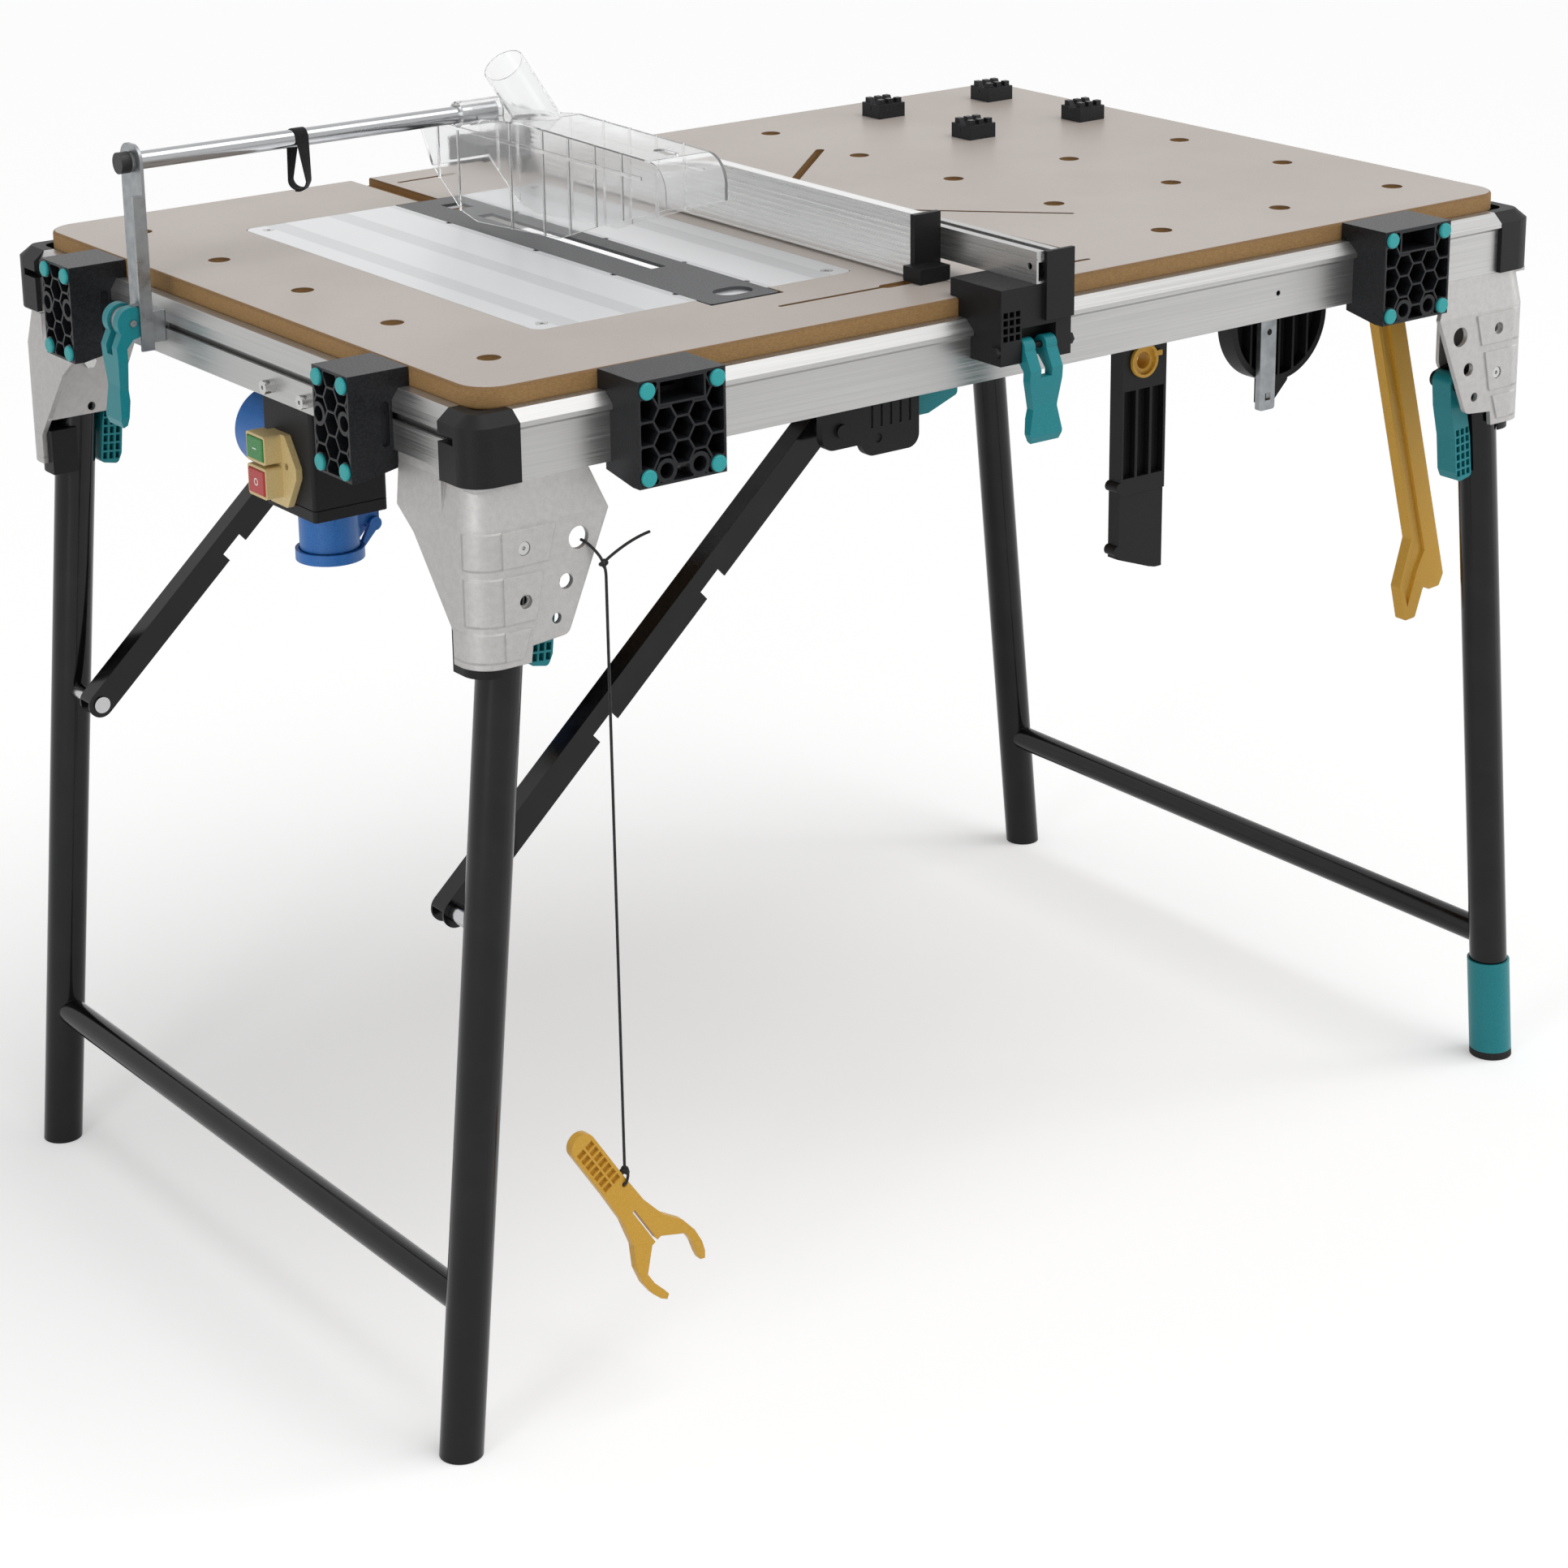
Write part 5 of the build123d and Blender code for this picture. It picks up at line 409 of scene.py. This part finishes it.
cast = finish("blasted_casting", cast_grey, 0.5, metallic=0.75)
blasted = grain(cast, 1100, 3.0)
mottled = grain(cast, 190, 4.0)
shade = tint(cast, ramp(cast, mottled, 0.3, 0.7), cast_grey, cast_pale)
feed(cast, "Base Color",
     tint(cast, ramp(cast, blasted, 0.55, 0.75, 0.0, 0.35), shade, cast_pitted))
feed(cast, "Roughness", ramp(cast, blasted, 0.3, 0.7, 0.44, 0.58))
along, back, up = place_on(cast)
above = sums(cast, "SUBTRACT", up, bracket_low)
to_side = sums(cast, "ABSOLUTE", back)
bands = 0.0
for low, high, ends in raised_bands:
    band = sums(cast, "MULTIPLY", between(cast, above, low, high, band_edge),
                ramp(cast, to_side, ends - band_edge, ends + band_edge))
    bands = sums(cast, "ADD", bands, band)
past_corner = sums(cast, "GREATER_THAN", sums(cast, "ABSOLUTE", along), bracket_corner)
bands = sums(cast, "MULTIPLY", bands, past_corner)
rough_skin = sums(cast, "ADD", blasted, sums(cast, "MULTIPLY", mottled, 0.2))
relief(cast, sums(cast, "ADD", rough_skin, sums(cast, "MULTIPLY", bands, band_in_grits)),
       grit_depth, 0.0012)
dress(cast, "bracket_back_left", "bracket_back_right", "bracket_front_left", "bracket_front_right")

# The leg frames: steel tube with a crossbar welded between, painted gloss black. The struts are
# folded channels with the same paint.
paint_black = (0.004, 0.004, 0.0045)
paint_dusty = (0.008, 0.008, 0.009)

paint = finish("black_paint", paint_black, 0.13, specular_ior_level=0.28)
peel = grain(paint, 210, 2.0)
dust = grain(paint, 30, 5.0)
feed(paint, "Base Color",
     tint(paint, ramp(paint, dust, 0.4, 0.75), paint_black, paint_dusty))
feed(paint, "Roughness", ramp(paint, dust, 0.3, 0.7, 0.1, 0.17))
relief(paint, peel, 0.00002, 0.0006)
dress(paint, "left_leg_frame", "right_leg_frame", "strut_front", "strut_back")

# The bright pins of the levers and struts: turned steel, chromed.
chrome_bright = (0.56, 0.56, 0.57)

chrome = finish("bright_steel", chrome_bright, 0.14, metallic=1.0)
turned = grain(chrome, 700, 2.0)
feed(chrome, "Base Color", tint(chrome, turned, (0.46, 0.46, 0.47), chrome_bright))
feed(chrome, "Roughness", ramp(chrome, turned, 0.3, 0.7, 0.1, 0.22))
relief(chrome, turned, 0.00002, 0.0004)
dress(chrome, "left_leg_pins", "right_leg_pins")

# The turquoise levers, clamp levers and the sleeve of the adjustable foot: nylon mouldings with a
# satin surface. The clamping discs are of the same nylon; their brighter turquoise is painted
# light, a lit copy of the levers' colour.
turquoise = (0.006, 0.2, 0.235)
turquoise_light = (0.015, 0.26, 0.29)
lit_pad_turquoise = (0.02, 0.34, 0.355)
lit_pad_light = (0.04, 0.42, 0.43)

nylon = moulded("turquoise_moulding", turquoise, turquoise_light, 0.36, 1000, 0.3, 0.00006)
dress(nylon, "leg_lever_back_left", "leg_lever_back_right", "leg_lever_front_left",
      "leg_lever_front_right", "strut_lever_back", "strut_lever_front", "fence_lever", "arm_lever",
      "foot_sleeve")
# Painted light: the discs get a lit, brighter copy of the levers' turquoise.
lit_pads = moulded("turquoise_pads_painted_lit", lit_pad_turquoise, lit_pad_light, 0.4, 1000, 0.3, 0.00006)
dress(lit_pads, "block_pads")

# The foot pad: black rubber with a dull, dusty skin, pushed up into the sleeve.
rubber_black = (0.014, 0.014, 0.014)

rubber = moulded("foot_rubber", rubber_black, (0.035, 0.034, 0.033), 0.75, 500, 0.2, 0.0002)
dress(rubber, "foot_pad")

# The clamping blocks on the rails and the V-blocks on the right board: glass-filled black plastic
# with a coarser, harder texture that shines where light grazes it.
block_black = (0.007, 0.0075, 0.009)

block = moulded("filled_moulding", block_black, (0.016, 0.017, 0.02), 0.34, 600, 0.25, 0.00012)
dress(block, "blocks_front", "blocks_left", "v_blocks")

# The switch box: a black housing under the left rail. Its plate is cream plastic, and the two
# buttons travel in housings on it. A plain bar marks the one for on, and a ring the one for off.
cream = (0.62, 0.47, 0.2)
green = (0.02, 0.2, 0.035)
red = (0.42, 0.02, 0.02)
mark_white = (0.8, 0.8, 0.78)
button_face = -0.6035
button_back = -0.056
green_height = 0.80625
red_height = 0.77675
bar_half = 0.0032
ring_radius = 0.0028
stroke = 0.0011
mark_soft = 0.00012

housing = moulded("box_moulding", plastic_black, plastic_worn, 0.5, 700)
dress(housing, "switch_box")
cream_plastic = moulded("cream_moulding", cream, (0.72, 0.57, 0.29), 0.4, 900, 0.45, 0.00006)
dress(cream_plastic, "switch_plate")


def marked(made, amount, colour):
    """Prints a mark over the finish's own colour where the amount is one."""
    shader = made.node_tree.nodes["Principled BSDF"]
    below = shader.inputs["Base Color"].links[0].from_socket
    feed(made, "Base Color", tint(made, amount, below, colour))


for name, colour, lighter, height in (("green", green, (0.035, 0.27, 0.06), green_height),
                                      ("red", red, (0.52, 0.04, 0.035), red_height)):
    made = moulded(name + "_moulding", colour, lighter, 0.3, 900, 0.4, 0.00004)
    along, back, up = place_on(made)
    aside = sums(made, "SUBTRACT", back, button_back)
    above = sums(made, "SUBTRACT", up, height)
    if name == "green":
        mark = sums(made, "MULTIPLY", between(made, aside, -bar_half, bar_half, mark_soft),
                    between(made, above, -stroke / 2, stroke / 2, mark_soft))
    else:
        far = sums(made, "SQRT", sums(made, "ADD", sums(made, "MULTIPLY", aside, aside),
                                      sums(made, "MULTIPLY", above, above)))
        mark = between(made, far, ring_radius - stroke / 2, ring_radius + stroke / 2, mark_soft)
    marked(made, sums(made, "MULTIPLY", mark, sums(made, "LESS_THAN", along, button_face + 0.0003)),
           mark_white)
    dress(made, name + "_button")

# The inlet and the outlet: blue mouldings with metal contacts, the outlet under a hinged lid.
blue = (0.005, 0.12, 0.43)

blue_plastic = moulded("blue_moulding", blue, (0.02, 0.17, 0.52), 0.34, 900, 0.45, 0.00006)
dress(blue_plastic, "inlet_plug", "outlet_socket", "socket_lid")

# The rip fence: a smooth hollow beam across the table, and beside it a ribbed face that the work
# slides along. Both are extruded along the table's depth.
face_light, face_line = (0.86, 0.86, 0.855), (0.82, 0.82, 0.815)
beam_light, beam_line = (0.5, 0.5, 0.495), (0.46, 0.46, 0.455)

for node, light, line in (("fence_face", face_light, face_line),
                          ("fence_beam", beam_light, beam_line)):
    fence_metal, worn = drawn_metal("extruded_" + node, light, line, 0.3, (1, 0.006, 1))
    feed(fence_metal, "Base Color", worn)
    dress(fence_metal, node)
dress(black_plastic, "fence_clamps")

# The guard's upright: a hot-dip galvanised angle. Its zinc has large soft spangles.
zinc_grey = (0.27, 0.285, 0.295)
zinc_pale = (0.37, 0.385, 0.395)

zinc = finish("galvanised_steel", zinc_grey, 0.36, metallic=0.9)
coordinates = add(zinc, "TexCoord", {})
spangle = add(zinc, "TexVoronoi", {"Vector": coordinates.outputs["Object"], "Scale": 130.0})
cloud = grain(zinc, 70, 4.0)
spangled = ramp(zinc, spangle.outputs["Distance"], 0.1, 0.7, 0.2, 0.6)
shade = tint(zinc, spangled, zinc_grey, zinc_pale)
feed(zinc, "Base Color", tint(zinc, ramp(zinc, cloud, 0.35, 0.7, 0.0, 0.5), shade, zinc_grey))
feed(zinc, "Roughness", ramp(zinc, cloud, 0.3, 0.7, 0.26, 0.46))
relief(zinc, cloud, 0.00005, 0.0005)
dress(zinc, "guard_arm", "gauge_bar")

# The guard's tube: chromed steel, bolted through the top of the upright under a black plastic cap.
cap_from = -0.6148
tube_dark = (0.36, 0.37, 0.38)
tube_light = (0.46, 0.465, 0.47)

tube = finish("chromed_tube", chrome_bright, 0.12, metallic=1.0)
along, _, _ = place_on(tube)
scratches = grain(tube, 400, 3.0, (0.05, 1, 1))
capped = sums(tube, "LESS_THAN", along, cap_from)
feed(tube, "Base Color",
     tint(tube, capped, tint(tube, scratches, tube_dark, tube_light), plastic_black))
feed(tube, "Metallic", sums(tube, "SUBTRACT", 1.0, capped))
feed(tube, "Roughness", sums(tube, "ADD", ramp(tube, scratches, 0.3, 0.7, 0.08, 0.16),
                             sums(tube, "MULTIPLY", capped, 0.35)))
relief(tube, scratches, 0.00002, 0.0004)
dress(tube, "guard_tube")

# The strap for the suction hose: a narrow black hook-and-loop band, laid over the tube and closed
# on itself, so that it hangs from it as a long loop. Its ends lap on the lower turn.
strap_middle = (-0.447, 0.122)
strap_top, strap_low = 1.027, 0.9892
strap_radius = 0.0091
strap_width = 0.013
strap_thickness = 0.0012
strap_twist = 0.7
strap_twist_from, strap_twist_over = 1.016, 0.022
fuzz_black = (0.006, 0.006, 0.007)
fuzz_light = (0.022, 0.022, 0.024)


def hanging_band(name, made):
    """A flat band along a circle whose lower half is drawn down, (r cos t, r sin t - drop), with
    the last stretch lifted by one thickness over the first. Across, its section is a rounded
    rectangle, whose two waves are the sine and cosine to a small power, with their sign. Below the
    tube every point turns about the upright through the tube, further the lower it is."""
    t = np.linspace(-2.2, 2 * np.pi - 1.3, 97)
    lap = strap_thickness * np.clip((t - 2 * np.pi + 2.5) / 0.4, 0, 1)
    out = np.stack([np.zeros_like(t), np.cos(t), np.sin(t)], 1)
    centre = np.stack([np.zeros_like(t), np.zeros_like(t),
                       np.where(np.sin(t) < 0, strap_low, strap_top)], 1)
    path = centre + (strap_radius - strap_thickness / 2 + lap)[:, None] * out
    u = np.linspace(0, 2 * np.pi, 20, endpoint=False)
    wave = lambda v: np.sign(v) * np.abs(v) ** 0.35
    section = wave(np.cos(u))[:, None] * (strap_width / 2, 0, 0)
    lift = wave(np.sin(u)) * strap_thickness / 2
    rings = path[:, None] + section + lift[:, None] * out[:, None]
    turn = strap_twist * np.clip((strap_twist_from - rings[..., 2]) / strap_twist_over, 0, 1)
    x, y = rings[..., 0].copy(), rings[..., 1].copy()
    rings[..., 0] = strap_middle[0] + x * np.cos(turn) - y * np.sin(turn)
    rings[..., 1] = strap_middle[1] + x * np.sin(turn) + y * np.cos(turn)
    return skin(name, rings, made, False)


loops = finish("hook_and_loop", (0.008, 0.008, 0.009), 0.85, specular_ior_level=0.15,
               sheen_weight=0.15)
fuzz = grain(loops, 1400, 3.0)
feed(loops, "Base Color", tint(loops, ramp(loops, fuzz, 0.4, 0.7), fuzz_black, fuzz_light))
relief(loops, fuzz, 0.0003, 0.0002)
strap = hanging_band("strap_band", loops)
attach(strap, "guard")
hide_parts("hose_strap")

# The guard hood: clear polycarbonate, moulded in two halves, faintly milky where it is polished.
hood = finish("clear_polycarbonate", (0.985, 0.988, 0.99), 0.06, transmission_weight=0.92, ior=1.22,
              specular_ior_level=0.5)
haze = grain(hood, 35, 4.0)
feed(hood, "Roughness", ramp(hood, haze, 0.35, 0.75, 0.03, 0.12))
relief(hood, haze, 0.0001, 0.0008)
dress(hood, "guard_hood")

# The tools that hang behind the front rail: a ribbed black bar with a yellow hub, the mitre
# gauge's black disc on its zinc bar, and the yellow push stick. The spring clip is yellow too.
mustard = (0.60, 0.325, 0.03)
mustard_light = (0.70, 0.40, 0.06)

dress(black_plastic, "ribbed_bar", "gauge_head")
yellow = moulded("yellow_moulding", mustard, mustard_light, 0.36, 900, 0.3, 0.00006)
dress(yellow, "bar_hub", "push_stick", "switch_clip")

# The screws and bolts: zinc-plated steel. The three hooks that the tools hang on are painted
# black, which takes what lies near hook_back and below hooks_below.
hook_back = -0.3
hook_half = 0.035
hooks_below = 0.9

screws = finish("plated_screws", (0.55, 0.55, 0.545), 0.25, metallic=1.0)
_, back, up = place_on(screws)
plated = grain(screws, 500, 3.0)
from_hook = sums(screws, "ABSOLUTE", sums(screws, "SUBTRACT", back, hook_back))
painted = sums(screws, "MULTIPLY", sums(screws, "LESS_THAN", from_hook, hook_half),
               sums(screws, "LESS_THAN", up, hooks_below))
feed(screws, "Base Color", tint(screws, painted, tint(screws, plated, (0.46, 0.46, 0.46),
                                                      (0.6, 0.6, 0.59)), paint_black))
feed(screws, "Metallic", sums(screws, "SUBTRACT", 1.0, painted))
feed(screws, "Roughness", ramp(screws, plated, 0.3, 0.7, 0.18, 0.32))
relief(screws, plated, 0.00003, 0.0004)
dress(screws, "fasteners")

# The studio: a white floor that keeps the table's shadow, a white world behind it, one very wide
# soft lamp above and two tall ones to the left and right in front of the table.
world_light = 0.39
floor_white = 0.9
floor_lift = 0.3
sun_width = 50
sun_strength = 1.25
sun_turn = (24, 14, 0)
floor_reach = 30
floor_height = -0.0005
lamp_aim = (0, 0, 0.6)
lamp_width, lamp_height = 0.9, 2.6


def seen_directly(made_or_world):
    """One where the camera sees the surface itself, in a mirror or through glass."""
    tree = made_or_world.node_tree
    path = tree.nodes.new("ShaderNodeLightPath")
    total = None
    for ray in ("Is Camera Ray", "Is Glossy Ray", "Is Transmission Ray"):
        if total is None:
            total = path.outputs[ray]
            continue
        either = tree.nodes.new("ShaderNodeMath")
        either.operation = "MAXIMUM"
        tree.links.new(total, either.inputs[0])
        tree.links.new(path.outputs[ray], either.inputs[1])
        total = either.outputs[0]
    return total


world = bpy.data.worlds.new("studio")
world.use_nodes = True
bpy.context.scene.world = world
background = world.node_tree.nodes["Background"]
white = (1, 1, 1, 1)
background.inputs["Color"].default_value = white
strength = world.node_tree.nodes.new("ShaderNodeMapRange")
world.node_tree.links.new(seen_directly(world), strength.inputs[0])
strength.inputs[3].default_value = world_light
strength.inputs[4].default_value = 1.0
world.node_tree.links.new(strength.outputs[0], background.inputs["Strength"])

floor_finish = finish("studio_floor", (floor_white,) * 3, 0.9, specular_ior_level=0.0)
feed(floor_finish, "Emission Strength",
     sums(floor_finish, "MULTIPLY", seen_directly(floor_finish), floor_lift))
floor_finish.node_tree.nodes["Principled BSDF"].inputs["Emission Color"].default_value = white
floor_mesh = bpy.data.meshes.new("floor")
corners = ((-1, -1), (1, -1), (1, 1), (-1, 1))
floor_mesh.from_pydata([(x * floor_reach, y * floor_reach, floor_height) for x, y in corners],
                       [], [(0, 1, 2, 3)])
floor_mesh.materials.append(floor_finish)
floor = bpy.data.objects.new("floor", floor_mesh)
bpy.context.scene.collection.objects.link(floor)


def soft_lamp(name, place, watts):
    """A tall rectangular lamp that faces the middle of the table."""
    lamp = bpy.data.objects.new(name, bpy.data.lights.new(name, "AREA"))
    lamp.data.shape = "RECTANGLE"
    lamp.data.size, lamp.data.size_y = lamp_width, lamp_height
    lamp.data.energy = watts
    lamp.location = place
    lamp.rotation_mode = "QUATERNION"
    lamp.rotation_quaternion = (Vector(lamp_aim) - Vector(place)).to_track_quat("-Z", "Y")
    bpy.context.scene.collection.objects.link(lamp)


lamp_above = bpy.data.objects.new("lamp_above", bpy.data.lights.new("lamp_above", "SUN"))
lamp_above.data.angle = math.radians(sun_width)
lamp_above.data.energy = sun_strength
lamp_above.rotation_euler = [math.radians(angle) for angle in sun_turn]
bpy.context.scene.collection.objects.link(lamp_above)
soft_lamp("lamp_left", (-3.6, -1.6, 1.5), 24)
soft_lamp("lamp_right", (3.6, -1.9, 1.3), 20)

bpy.context.scene.view_settings.view_transform = "Standard"
